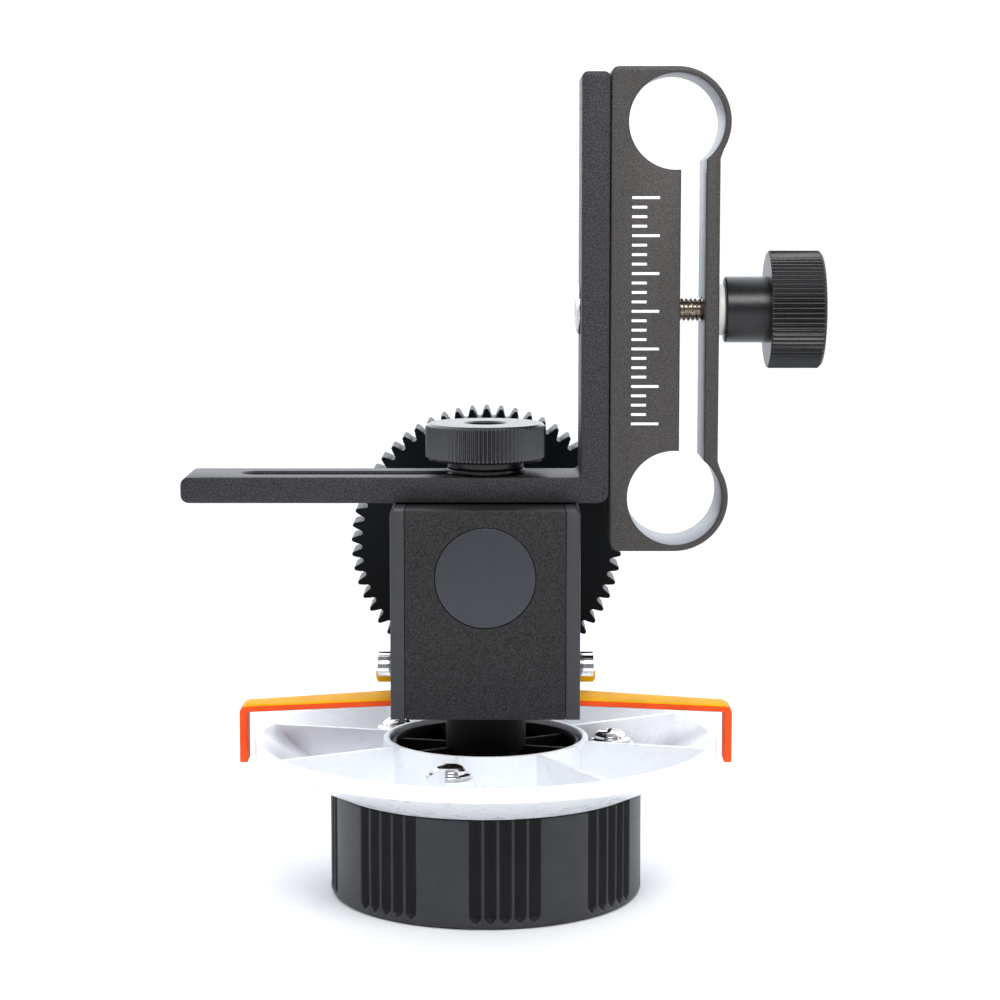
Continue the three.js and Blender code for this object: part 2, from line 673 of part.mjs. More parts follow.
const FLANGE_RADIUS = 3.45;
const WHEEL_POST_RADIUS = 3.2;
const WHEEL_SCREW_SINK = 3.6;
const WHEEL_SCREW_SEAT = 4;
const CAP_RECESS = 9.3;
const WHEEL_CAP_DEPTH = 1.6;
const RIM_WIDTH = 0.9;
const RIM_SIDE_BOTTOM = 23.4;

const radians = THREE.MathUtils.degToRad;

// The handwheel's rim: groups of V grooves side by side, with smooth lands between the groups.
function gripOutline() {
  const points = [];
  for (let group = 0; group < GRIP_GROUPS; group += 1) {
    const middle = GRIP_FIRST_DEG + (group * 360) / GRIP_GROUPS;
    const first = middle - (GROOVES * GROOVE_PITCH_DEG) / 2;
    for (let groove = 0; groove < GROOVES; groove += 1) {
      points.push(polar(WHEEL_RADIUS, radians(first + groove * GROOVE_PITCH_DEG)));
      points.push(polar(WHEEL_RADIUS - GROOVE_DEPTH, radians(first + (groove + 0.5) * GROOVE_PITCH_DEG)));
    }
    points.push(polar(WHEEL_RADIUS, radians(first + GROOVES * GROOVE_PITCH_DEG)));
    points.push(polar(WHEEL_RADIUS, radians(middle + 180 / GRIP_GROUPS)));
  }
  return new THREE.Shape(points);
}

const ribAngles = Array.from({ length: RIBS }, (_, index) => radians(FIRST_RIB_DEG + (index * 360) / RIBS));
const fixingAngles = FIXING_DEGREES.map(radians);

const atFixing = (geometry, angle) => geometry.translate(FIXING_RADIUS, 0, 0).rotateZ(angle);

function handwheel() {
  const rootRadius = WHEEL_RADIUS - GROOVE_DEPTH;
  const rim = turned([
    [0, 0], [rootRadius - RIM_BEVEL, 0], [rootRadius, RIM_BEVEL], [rootRadius, RIM_FOOT], [0, RIM_FOOT],
  ], FINE);
  const grip = prism(gripOutline(), RIM_FOOT / 2, WHEEL_HEIGHT);
  const hubRing = bar(HUB_RING_OUTER, RIM_FOOT / 2, HUB_RING_TOP, FINE);
  const pockets = [
    ring(HUB_RING_OUTER, SKIRT_INNER, WHEEL_FACE, WHEEL_HEIGHT + PAST, FINE),
    ring(NECK_RADIUS, HUB_RING_INNER, WHEEL_FACE, HUB_RING_TOP + PAST, FINE),
  ];
  const cup = cut(join(rim, grip, hubRing), ...pockets);
  const ribReach = [NECK_RADIUS - PAST, HUB_RING_INNER + GAP];
  const ribs = ribAngles.map((angle) => (
    block(ribReach, [-0.5, 0.5], [WHEEL_FACE - PAST, HUB_RING_TOP - 2 * GAP]).rotateZ(angle)));
  const posts = fixingAngles.map((angle) => (
    atFixing(bar(WHEEL_POST_RADIUS, WHEEL_FACE - PAST, WHEEL_HEIGHT), angle)));
  const pilots = fixingAngles.map((angle) => (
    atFixing(bar(M3 + FIT, FIXING_SEAT - FIXING_LENGTH - PAST, WHEEL_HEIGHT + PAST), angle)));
  const neck = bar(NECK_RADIUS, HUB_RING_TOP - PAST, NECK_TOP, ROUND);
  const bore = cut(
    bar(SHAFT_RADIUS + SHAFT_FIT, INPUT_BOTTOM - FIT, NECK_TOP + PAST, ROUND),
    flat(INPUT_BOTTOM - PAST, INPUT_FLAT_TOP - FIT, SHAFT_FIT),
  );
  const recess = [
    bar(CAP_RECESS, -PAST, WHEEL_CAP_DEPTH, ROUND),
    bar(WHEEL_SCREW_SINK, 0, WHEEL_SCREW_SEAT + FIT),
    bar(M3 + FIT, 0, INPUT_BOTTOM + PAST),
  ];
  return cut(join(cup, neck, ...ribs, ...posts), bore, ...pilots, ...recess);
}

// The white dish with raised ribs. Its rim carries the focus marks.
function markingDisc() {
  const dish = turned([
    [DISC_BORE, DISC_BOTTOM], [WHEEL_RADIUS, DISC_BOTTOM],
    [DISC_RADIUS, RIM_SIDE_BOTTOM], [DISC_RADIUS, DISC_TOP],
    [DISC_RADIUS - RIM_WIDTH, DISC_TOP], [31.2, 20.9], [27, DISC_FLOOR],
    [17.2, DISC_FLOOR], [16.9, DISC_TOP], [DISC_BORE, DISC_TOP], [DISC_BORE, DISC_BOTTOM],
  ], 48);
  const ribSide = new THREE.Shape([
    [16.5, DISC_FLOOR - 0.5], [27.5, DISC_FLOOR - 0.4], [DISC_RADIUS - 0.5, 24.4],
    [DISC_RADIUS - 0.5, DISC_TOP - 0.1], [16.5, DISC_TOP - 0.1],
  ].map(([radius, height]) => new THREE.Vector2(radius, height)));
  const ribs = ribAngles.map((angle) => upright(ribSide, -0.45, 0.45).rotateZ(angle));
  const posts = fixingAngles.map((angle) => (
    atFixing(bar(FIXING_POCKET, DISC_FLOOR - 0.5, FIXING_SEAT), angle)));
  const clearances = fixingAngles.flatMap((angle) => [
    atFixing(bar(FIXING_POCKET, FIXING_SEAT, DISC_TOP + PAST), angle),
    atFixing(bar(M3 + GAP, DISC_BOTTOM - PAST, FIXING_SEAT + PAST), angle),
  ]);
  return cut(join(dish, ...ribs, ...posts), ...clearances);
}

function buildHandwheel() {
  add('handwheel', handwheel(), blackPlastic);
  add('marking_disc', markingDisc(), whitePlastic);
  FIXING_DEGREES.forEach((degrees, index) => {
    const flanged = turned([
      [0, -FIXING_LENGTH], [M3, -FIXING_LENGTH], [M3, 0], [FLANGE_RADIUS, 0], [FLANGE_RADIUS, 0.6],
      [2.7, 0.7], [2.2, 1.7], [0, 2],
    ], SMALL);
    const fixing = add(`disc_screw_${index + 1}`, flanged, chrome);
    const place = polar(FIXING_RADIUS, radians(degrees));
    fixing.position.set(place.x, place.y, FIXING_SEAT + SEAM);
  });
  add('wheel_cap', bar(CAP_RECESS - GAP, 0, WHEEL_CAP_DEPTH - FIT, FINE), blackPlastic);
  const retainer = add('wheel_screw', screw(...WHEEL_SCREW), steel);
  retainer.position.z = WHEEL_SCREW_SEAT;
  retainer.rotation.x = Math.PI;
}

// ---------------------------------------------------------------- L bracket and rod clamp

const UPRIGHT_LEFT = 15.3;
const UPRIGHT_TOP = 133.9;
const UPRIGHT_RIGHT = 19.85;
const ARM_TOP = ARM_BOTTOM + ARM_THICKNESS;
const SLOT_LEFT = -39.7;
const SLOT_RIGHT = 5.6;
const SLOT_HALF_WIDTH = 2.6;
const CLAMP_LEFT = UPRIGHT_RIGHT + 2 * SEAM;
const ROD_X = 30.4;
const ROD_MIDDLE = 96.05;
const RING_OUTER = 8.65;
const SLIT_LEFT = 31.1;
const SLIT_RIGHT = 35.1;
const BAR_RIGHT = 37.35;
const DOWEL_OFFSET = 14;
const DOWEL_RADIUS = 1;
const DOWEL_DEPTH = 3;
const BUTTON_RADIUS = 4.1;
const BUTTON_HEIGHT = 0.75;

const clampBore = (geometry, offset = 0) => alongX(geometry).translate(0, 0, ROD_MIDDLE + offset);
const dowelOffsets = [-DOWEL_OFFSET, DOWEL_OFFSET];

function bracketPlate() {
  const outline = rounded([
    [ARM_LEFT, ARM_BOTTOM, 1.3], [UPRIGHT_RIGHT, ARM_BOTTOM, 1.7], [UPRIGHT_RIGHT, UPRIGHT_TOP, 1],
    [UPRIGHT_LEFT, UPRIGHT_TOP, 1], [UPRIGHT_LEFT, ARM_TOP, 0.8], [ARM_LEFT, ARM_TOP, 1.3],
  ]);
  const plate = upright(outline, -CLAMP_HALF_DEPTH, CLAMP_HALF_DEPTH);
  const slot = prism(slotOutline(SLOT_LEFT, SLOT_RIGHT, SLOT_HALF_WIDTH), ARM_BOTTOM - PAST, ARM_TOP + PAST);
  const screwHole = clampBore(bar(M4 + GAP, UPRIGHT_LEFT - PAST, UPRIGHT_RIGHT + PAST));
  const dowelHoles = dowelOffsets.map((offset) => (
    clampBore(bar(DOWEL_RADIUS + FIT, UPRIGHT_RIGHT - DOWEL_DEPTH - FIT, UPRIGHT_RIGHT + PAST), offset)));
  return cut(plate, slot, screwHole, ...dowelHoles);
}

// One piece with two bores joined by a slit. Pulling the thin bar on the right inwards closes both bores.
function rodClamp() {
  const upper = ROD_MIDDLE + ROD_SPACING / 2;
  const lower = ROD_MIDDLE - ROD_SPACING / 2;
  const barAngle = Math.acos((BAR_RIGHT - ROD_X) / RING_OUTER);
  const outline = new THREE.Shape();
  const corner = 1.2;
  outline.absarc(CLAMP_LEFT + corner, lower - RING_OUTER + corner, corner, Math.PI, 3 * QUARTER_TURN);
  outline.absarc(ROD_X, lower, RING_OUTER, -QUARTER_TURN, barAngle);
  outline.absarc(ROD_X, upper, RING_OUTER, -barAngle, QUARTER_TURN);
  outline.absarc(CLAMP_LEFT + corner, upper + RING_OUTER - corner, corner, QUARTER_TURN, Math.PI);
  const leftAngle = Math.acos((SLIT_LEFT - ROD_X) / ROD_BORE);
  const rightAngle = Math.acos((SLIT_RIGHT - ROD_X) / ROD_BORE);
  const opening = new THREE.Path();
  opening.absarc(ROD_X, upper, ROD_BORE, -rightAngle, TAU - leftAngle);
  opening.absarc(ROD_X, lower, ROD_BORE, leftAngle, TAU + rightAngle);
  outline.holes.push(opening);
  const plate = upright(outline, -CLAMP_HALF_DEPTH, CLAMP_HALF_DEPTH);
  const screwHole = clampBore(bar(M4 + GAP, CLAMP_LEFT - PAST, BAR_RIGHT + PAST));
  const dowelHoles = dowelOffsets.map((offset) => (
    clampBore(bar(DOWEL_RADIUS + FIT, CLAMP_LEFT - PAST, CLAMP_LEFT + DOWEL_DEPTH + FIT), offset)));
  return cut(plate, screwHole, ...dowelHoles);
}

function buildBracket() {
  add('l_bracket', bracketPlate(), anodised);
  add('rod_clamp', rodClamp(), clampGrey);
  const mount = add('clamp_mount_screw', turned([
    [0, -9.5], [M4, -9.5], [M4, 0], [BUTTON_RADIUS, 0], [BUTTON_RADIUS - 2 * GAP, BUTTON_HEIGHT],
    [0, BUTTON_HEIGHT],
  ], SMALL), steel);
  mount.position.set(UPRIGHT_LEFT - SEAM, 0, ROD_MIDDLE);
  mount.rotation.y = -QUARTER_TURN;
  dowelOffsets.forEach((offset, index) => {
    const dowel = clampBore(bar(DOWEL_RADIUS, UPRIGHT_RIGHT - DOWEL_DEPTH, CLAMP_LEFT + DOWEL_DEPTH), offset);
    add(`dowel_pin_${index + 1}`, dowel, steel);
  });
}

// ---------------------------------------------------------------- thumbscrews

const LOCK_WASHER_RADIUS = 6.4;
const LOCK_WASHER_THICKNESS = 0.8;
const LOCK_HEAD_RADIUS = 9.85;
const LOCK_HEAD_BOTTOM = 71.6;
const LOCK_HEAD_TOP = 77.6;
const LOCK_COLLAR_RADIUS = 6.2;
const LOCK_SEAT = 72.4;
const LOCK_WELL_RADIUS = 3.4;
const LOCK_STUD_BOTTOM = 60.4;
const LOCK_STUD_TOP = 75.2;
const LOCK_STUD_HEAD_RADIUS = 3.1;
const HEX_RADIUS = 1.7;
const HEX_DEPTH = 1.8;

function buildLockKnob() {
  const washerBottom = ARM_TOP + 2 * SEAM;
  const washerTop = washerBottom + LOCK_WASHER_THICKNESS;
  const knobBottom = washerTop + SEAM;
  add('lock_washer', ring(M5 + GAP, LOCK_WASHER_RADIUS, washerBottom, washerTop), blackPlastic);
  const head = prism(knurlOutline(LOCK_HEAD_RADIUS), LOCK_HEAD_BOTTOM, LOCK_HEAD_TOP);
  const collar = bar(LOCK_COLLAR_RADIUS, knobBottom, LOCK_HEAD_BOTTOM + PAST, ROUND);
  const bores = [
    bar(M5 + GAP, knobBottom - PAST, LOCK_SEAT + PAST),
    bar(LOCK_WELL_RADIUS, LOCK_SEAT, LOCK_HEAD_TOP + PAST),
  ];
  add('lock_knob', cut(join(head, collar), ...bores), blackPlastic);
  const stud = turned([
    [0, LOCK_STUD_BOTTOM], [M5, LOCK_STUD_BOTTOM], [M5, LOCK_SEAT + FIT],
    [LOCK_STUD_HEAD_RADIUS, LOCK_SEAT + FIT], [LOCK_STUD_HEAD_RADIUS, LOCK_STUD_TOP], [0, LOCK_STUD_TOP],
  ], SMALL);
  add('lock_screw', cut(stud, bar(HEX_RADIUS, LOCK_STUD_TOP - HEX_DEPTH, LOCK_STUD_TOP + PAST, 6)), steel);
}

const CLAMP_WASHER_RADIUS = 4.2;
const CLAMP_WASHER_THICKNESS = 1.2;
const CLAMP_HEAD_RADIUS = 9.5;
const CLAMP_HEAD_LEFT = 45.65;
const CLAMP_HEAD_RIGHT = 54.35;
const CLAMP_COLLAR_RADIUS = 5.35;
const CLAMP_STUD_LEFT = 25.6;
const CLAMP_STUD_RIGHT = 50;

function buildClampKnob() {
  const washerLeft = BAR_RIGHT + 2 * SEAM;
  const washerRight = washerLeft + CLAMP_WASHER_THICKNESS;
  const knobLeft = washerRight + SEAM;
  add('clamp_washer', clampBore(ring(M4 + GAP, CLAMP_WASHER_RADIUS, washerLeft, washerRight)), nylon);
  const head = prism(knurlOutline(CLAMP_HEAD_RADIUS), CLAMP_HEAD_LEFT, CLAMP_HEAD_RIGHT);
  const collar = bar(CLAMP_COLLAR_RADIUS, knobLeft, CLAMP_HEAD_LEFT + PAST, ROUND);
  const bore = bar(M4 + FIT, knobLeft - PAST, CLAMP_STUD_RIGHT + FIT);
  add('clamp_knob', clampBore(cut(join(head, collar), bore)), blackPlastic);
  add('clamp_screw', clampBore(bar(M4, CLAMP_STUD_LEFT, CLAMP_STUD_RIGHT)), steel);
}

// ---------------------------------------------------------------- assembly

buildHousing();
buildBearings();
buildIndexBracket();
buildInputShaft();
buildOutputShaft();
buildDriveGear();
buildHandwheel();
buildBracket();
buildLockKnob();
buildClampKnob();

export default focus;
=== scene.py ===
"""Geared follow focus: the fine meshes, materials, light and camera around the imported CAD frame.

Shapes are worked out in millimetres, in the frame's own axes, and scaled to metres when a piece is made.
"""
import json
import math

import bmesh
import bpy
from mathutils import Matrix, Vector


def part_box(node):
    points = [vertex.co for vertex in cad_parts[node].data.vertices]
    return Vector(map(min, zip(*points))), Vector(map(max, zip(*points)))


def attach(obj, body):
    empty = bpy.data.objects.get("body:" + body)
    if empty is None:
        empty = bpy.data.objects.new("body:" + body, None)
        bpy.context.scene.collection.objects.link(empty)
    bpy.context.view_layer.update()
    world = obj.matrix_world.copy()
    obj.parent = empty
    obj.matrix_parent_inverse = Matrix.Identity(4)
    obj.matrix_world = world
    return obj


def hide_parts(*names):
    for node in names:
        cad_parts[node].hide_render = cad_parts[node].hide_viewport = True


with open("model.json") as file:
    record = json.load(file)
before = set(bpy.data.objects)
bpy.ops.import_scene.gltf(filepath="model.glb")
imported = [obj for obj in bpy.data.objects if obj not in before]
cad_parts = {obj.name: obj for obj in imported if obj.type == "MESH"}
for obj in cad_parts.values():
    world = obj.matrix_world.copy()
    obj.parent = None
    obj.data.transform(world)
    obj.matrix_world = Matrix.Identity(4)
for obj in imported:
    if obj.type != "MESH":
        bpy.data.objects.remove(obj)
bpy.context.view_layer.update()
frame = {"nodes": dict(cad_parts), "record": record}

MM = 0.001
TAU = math.tau
QUARTER = math.pi / 2
PAST = 1.0

# Radii of the screws' shanks, and of the holes, the shafts and the bearings' places.
M2 = 1.0
M25 = 1.25
M3 = 1.5
M4 = 1.95
M5 = 2.35
M3_HOLE = 1.65
SHAFT_RADIUS = 3.0
SHAFT_BORE = 3.12
BEARING_SEAT = 6.65
BEARING_LIP = 5.2


# ---------------------------------------------------------------- measures taken from the frame

def box_mm(node):
    """A node's lowest and highest corners, in millimetres."""
    low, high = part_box(node)
    return Vector(low) / MM, Vector(high) / MM


def middle_mm(node):
    low, high = box_mm(node)
    return (low + high) / 2


# ---------------------------------------------------------------- outlines and profiles

def polar(radius, angle, centre=(0, 0)):
    return (centre[0] + radius * math.cos(angle), centre[1] + radius * math.sin(angle))


def arc(centre, radius, start, end, steps):
    return [polar(radius, start + (end - start) * step / steps, centre) for step in range(steps + 1)]


def circle(radius, steps=96, centre=(0, 0)):
    return [polar(radius, TAU * step / steps, centre) for step in range(steps)]


def rounded(corners, closed=True, steps=5):
    """Points through corners (x, y) or (x, y, radius), each rounded by its own radius."""
    points = []
    count = len(corners)
    for index, corner in enumerate(corners):
        here = Vector(corner[:2])
        radius = corner[2] if len(corner) > 2 else 0
        inner = closed or 0 < index < count - 1
        if not radius or not inner:
            points.append(tuple(here))
            continue
        before = (Vector(corners[index - 1][:2]) - here).normalized()
        after = (Vector(corners[(index + 1) % count][:2]) - here).normalized()
        half = math.acos(max(-1, min(1, before.dot(after)))) / 2
        centre = here + (before + after).normalized() * radius / math.sin(half)
        first = here + before * radius / math.tan(half) - centre
        last = here + after * radius / math.tan(half) - centre
        start = math.atan2(first.y, first.x)
        sweep = (math.atan2(last.y, last.x) - start + math.pi) % TAU - math.pi
        points += arc(tuple(centre), radius, start, start + sweep, steps)
    return points


def rectangle(x0, x1, y0, y1, radius=0.0):
    return rounded([(x0, y0, radius), (x1, y0, radius), (x1, y1, radius), (x0, y1, radius)])


# ---------------------------------------------------------------- mesh tools

def collect(bm):
    """Merge what touches, point the faces out and hand back a mesh."""
    bmesh.ops.remove_doubles(bm, verts=bm.verts, dist=1e-4)
    bmesh.ops.dissolve_degenerate(bm, edges=bm.edges, dist=1e-5)
    bmesh.ops.recalc_face_normals(bm, faces=bm.faces)
    mesh = bpy.data.meshes.new("shape")
    bm.to_mesh(mesh)
    bm.free()
    return mesh


def moved(mesh, matrix):
    mesh.transform(matrix)
    return mesh


def shifted(mesh, x=0.0, y=0.0, z=0.0):
    return moved(mesh, Matrix.Translation((x, y, z)))


def turned(mesh, angle, axis):
    return moved(mesh, Matrix.Rotation(angle, 4, axis))


def along_x(mesh):
    return turned(mesh, QUARTER, "Y")


def along_y(mesh):
    return turned(mesh, -QUARTER, "X")


def evaluated_mesh(obj):
    mesh = bpy.data.meshes.new_from_object(obj.evaluated_get(bpy.context.evaluated_depsgraph_get()))
    data = obj.data
    bpy.data.objects.remove(obj)
    if data.users == 0 and isinstance(data, bpy.types.Mesh):
        bpy.data.meshes.remove(data)
    return mesh


def plate(outlines, low, high, edge=0.0, steps=1):
    """A flat plate along Z from an outline and its holes, with rounded edges."""
    curve = bpy.data.curves.new("outline", "CURVE")
    curve.dimensions = "2D"
    curve.fill_mode = "BOTH"
    curve.extrude = (high - low) / 2 - edge
    curve.bevel_depth = edge
    curve.bevel_resolution = steps
    curve.offset = -edge
    for points in outlines:
        spline = curve.splines.new("POLY")
        spline.points.add(len(points) - 1)
        for target, (x, y) in zip(spline.points, points):
            target.co = (x, y, 0, 1)
        spline.use_cyclic_u = True
    obj = bpy.data.objects.new("outline", curve)
    bpy.context.collection.objects.link(obj)
    mesh = evaluated_mesh(obj)
    bm = bmesh.new()
    bm.from_mesh(mesh)
    return shifted(collect(bm), z=(low + high) / 2)


def upright(outlines, front, back, edge=0.0, steps=1):
    """A plate standing in the XZ plane, from outlines of (x, z)."""
    mesh = turned(plate(outlines, -(back - front) / 2, (back - front) / 2, edge, steps), QUARTER, "X")
    return shifted(mesh, y=(front + back) / 2)


def lathe(profile, steps=96, shape=None):
    """A solid of revolution about Z. A profile that leaves the axis and returns to it is closed there.

    shape(radius, height, angle) may give each point another radius, which makes flutes.
    """
    bm = bmesh.new()
    rings = []
    for radius, height in profile:
        if radius < 1e-6:
            rings.append([bm.verts.new((0, 0, height))])
            continue
        ring = []
        for step in range(steps):
            angle = TAU * step / steps
            reach = shape(radius, height, angle) if shape else radius
            ring.append(bm.verts.new((*polar(reach, angle), height)))
        rings.append(ring)
    on_axis = len(rings[0]) == 1
    pairs = list(zip(rings, rings[1:]))
    if not on_axis:
        pairs.append((rings[-1], rings[0]))
    for lower, upper in pairs:
        for step in range(steps):
            after = (step + 1) % steps
            corners = [lower[step % len(lower)], lower[after % len(lower)],
                       upper[after % len(upper)], upper[step % len(upper)]]
            unique = list(dict.fromkeys(corners))
            if len(unique) > 2:
                bm.faces.new(unique)
    return collect(bm)


def profile(*corners, closed=False):
    return rounded(list(corners), closed=closed, steps=4)


def rod(radius, low, high, edge=0.0, steps=48):
    return lathe(profile((0, low), (radius, low, edge), (radius, high, edge), (0, high)), steps)


def ring(inner, outer, low, high, edge=0.0, steps=96):
    corners = [(inner, low, edge), (outer, low, edge), (outer, high, edge), (inner, high, edge)]
    return lathe(profile(*corners, closed=True), steps)


def block(low, high, edge=0.0):
    return plate([rectangle(low[0], high[0], low[1], high[1])], low[2], high[2], edge)


def combine(base, tools, operation):
    """Add the tools to a mesh, or cut them out of it, with exact booleans."""
    target = bpy.data.objects.new("base", base)
    bpy.context.collection.objects.link(target)
    helpers = []
    for tool in tools:
        helper = bpy.data.objects.new("tool", tool)
        bpy.context.collection.objects.link(helper)
        modifier = target.modifiers.new("boolean", "BOOLEAN")
        modifier.operation = operation
        modifier.solver = "EXACT"
        modifier.object = helper
        helpers.append(helper)
    result = evaluated_mesh(target)
    for helper in helpers:
        mesh = helper.data
        bpy.data.objects.remove(helper)
        bpy.data.meshes.remove(mesh)
    return result


def joined(base, *tools):
    return combine(base, tools, "UNION")


def cut(base, *tools):
    return combine(base, tools, "DIFFERENCE")


def stack(*meshes):
    """Several separate closed shells as one mesh."""
    bm = bmesh.new()
    for mesh in meshes:
        bm.from_mesh(mesh)
        bpy.data.meshes.remove(mesh)
    result = bpy.data.meshes.new("shape")
    bm.to_mesh(result)
    bm.free()
    return result


SHARP_ANGLE = math.radians(28)


def piece(name, mesh, body, slot, material, *nodes):
    """Make an object in metres from a mesh in millimetres, standing for the CAD nodes it replaces."""
    mesh.transform(Matrix.Scale(MM, 4))
    mesh.name = name
    mesh.polygons.foreach_set("use_smooth", [True] * len(mesh.polygons))
    mesh.set_sharp_from_angle(angle=SHARP_ANGLE)
    mesh.materials.clear()
    mesh.materials.append(material)
    obj = bpy.data.objects.new(name, mesh)
    bpy.context.collection.objects.link(obj)
    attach(obj, body)
    if nodes:
        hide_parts(*nodes)
    return obj


def refinish(obj, material, chosen):
    """Give another finish to the faces whose middle, in millimetres, is chosen."""
    obj.data.materials.append(material)
    index = len(obj.data.materials) - 1
    for face in obj.data.polygons:
        if chosen(face.center / MM):
            face.material_index = index


# ---------------------------------------------------------------- materials

class Shader:
    """A Principled material whose colour, roughness and relief are built up in steps."""

    def __init__(self, name, color, roughness, metallic=0.0, **sockets):
        self.material = bpy.data.materials.new(name)
        self.material.use_nodes = True
        self.nodes = self.material.node_tree.nodes
        self.links = self.material.node_tree.links
        self.shader = self.nodes["Principled BSDF"]
        self.color = color
        self.roughness = roughness
        self.set("Base Color", (*color, 1))
        self.set("Roughness", roughness)
        self.set("Metallic", metallic)
        for socket, value in sockets.items():
            self.set(socket.replace("_", " "), value)
        self.place = self.nodes.new("ShaderNodeTexCoord").outputs["Object"]

    def set(self, socket, value):
        self.shader.inputs[socket].default_value = value

    def noise(self, scale, detail=3.0, stretch=(1, 1, 1)):
        """Noise over the object's own coordinates. The scale counts features per metre."""
        mapping = self.nodes.new("ShaderNodeMapping")
        mapping.inputs["Scale"].default_value = stretch
        self.links.new(self.place, mapping.inputs["Vector"])
        texture = self.nodes.new("ShaderNodeTexNoise")
        texture.inputs["Scale"].default_value = scale
        texture.inputs["Detail"].default_value = detail
        self.links.new(mapping.outputs["Vector"], texture.inputs["Vector"])
        return texture.outputs["Fac"]

    def range(self, source, low, high, start=0.3, end=0.7):
        node = self.nodes.new("ShaderNodeMapRange")
        node.inputs["From Min"].default_value = start
        node.inputs["From Max"].default_value = end
        node.inputs["To Min"].default_value = low
        node.inputs["To Max"].default_value = high
        self.links.new(source, node.inputs["Value"])
        return node.outputs["Result"]

    def tint(self, source, dark, light, start=0.3, end=0.7):
        """Colour that goes from dark to light times the base colour."""
        ramp = self.nodes.new("ShaderNodeValToRGB")
        ramp.color_ramp.elements[0].position = start
        ramp.color_ramp.elements[1].position = end
        ramp.color_ramp.elements[0].color = (*[channel * dark for channel in self.color], 1)
        ramp.color_ramp.elements[1].color = (*[channel * light for channel in self.color], 1)
        self.links.new(source, ramp.inputs["Fac"])
        self.links.new(ramp.outputs["Color"], self.shader.inputs["Base Color"])
        return self

    def gloss(self, source, low, high):
        self.links.new(self.range(source, low, high), self.shader.inputs["Roughness"])
        return self

    def relief(self, source, depth_mm, strength=1.0):
        """Bump of a real depth. Calls add up, coarse first."""
        bump = self.nodes.new("ShaderNodeBump")
        bump.inputs["Strength"].default_value = strength
        bump.inputs["Distance"].default_value = depth_mm * MM
        self.links.new(source, bump.inputs["Height"])
        previous = self.shader.inputs["Normal"].links
        if previous:
            self.links.new(previous[0].from_socket, bump.inputs["Normal"])
        self.links.new(bump.outputs["Normal"], self.shader.inputs["Normal"])
        return self


def blasted_metal(name, color, roughness, grain, depth, contrast):
    """Sand-blasted, anodised aluminium with a fine leathery grain."""
    made = Shader(name, color, roughness, metallic=0.55, Specular_IOR_Level=0.5)
    fine = made.noise(grain, detail=2.0)
    made.tint(fine, 1 - contrast, 1 + contrast, 0.36, 0.64)
    made.gloss(made.noise(grain * 0.6), roughness - 0.07, roughness + 0.07)
    made.relief(made.noise(grain * 0.35), depth * 0.5)
    made.relief(fine, depth)
    return made.material


def satin_metal(name, color, roughness, grain=6000, stretch=(1, 1, 1), depth=0.004):
    """Turned or ground metal, with fine marks along one direction."""
    made = Shader(name, color, roughness, metallic=1.0)
    marks = made.noise(grain, stretch=stretch)
    made.tint(marks, 0.88, 1.08)
    made.gloss(marks, roughness * 0.75, roughness * 1.3)
    made.relief(marks, depth)
    return made.material


def moulded_plastic(name, color, roughness, grain, depth, **sockets):
    made = Shader(name, color, roughness, **sockets)
    fine = made.noise(grain, detail=2.0)
    made.tint(made.noise(grain * 0.08), 0.9, 1.1)
    made.gloss(fine, roughness - 0.06, roughness + 0.08)
    made.relief(fine, depth)
    return made.material


def smooth_plastic(name, color, roughness):
    """Polished moulded plastic: only a faint flow pattern and a very shallow waviness."""
    made = Shader(name, color, roughness, Subsurface_Weight=0.04, Subsurface_Scale=0.002)
    flow = made.noise(120)
    made.tint(flow, 0.975, 1.02)
    made.gloss(made.noise(300), roughness - 0.02, roughness + 0.03)
    made.relief(flow, 0.005)
    return made.material


BRACKET = blasted_metal("bracket_anodised", (0.035, 0.033, 0.037), 0.5, 5400, 0.04, 0.75)
CLAMP = blasted_metal("clamp_anodised", (0.060, 0.055, 0.052), 0.5, 5400, 0.03, 0.45)
MACHINED = blasted_metal("clamp_machined", (0.064, 0.068, 0.090), 0.34, 9000, 0.002, 0.05)
BOX = blasted_metal("box_anodised", (0.0215, 0.021, 0.0215), 0.52, 5400, 0.04, 0.75)
SIDE = blasted_metal("side_anodised", (0.052, 0.052, 0.057), 0.5, 7000, 0.01, 0.25)
CAP = blasted_metal("cap_anodised", (0.044, 0.046, 0.054), 0.42, 9000, 0.003, 0.08)
KNOB = moulded_plastic("knob_black", (0.006, 0.006, 0.007), 0.3, 6000, 0.004, Specular_IOR_Level=0.4)
KNURL = moulded_plastic("knob_flutes", (0.010, 0.010, 0.012), 0.2, 6000, 0.003, Specular_IOR_Level=0.9)
# The lock knob's upward face is the same black plastic. Its lighter colour is painted light falling on it
# from above.
KNOB_TOP_LIT = moulded_plastic("knob_top_painted_light", (0.035, 0.036, 0.040), 0.3, 6000, 0.004, Specular_IOR_Level=0.6)
WHEEL = moulded_plastic("wheel_plastic", (0.026, 0.027, 0.031), 0.46, 4200, 0.03, Specular_IOR_Level=0.4)
# The grooves' rougher grained finish is their own. Their darker colour is painted shade in the grooves.
GROOVE_SHADE = moulded_plastic("wheel_grooves_painted_shade", (0.009, 0.009, 0.010), 0.6, 3000, 0.04, Specular_IOR_Level=0.2)
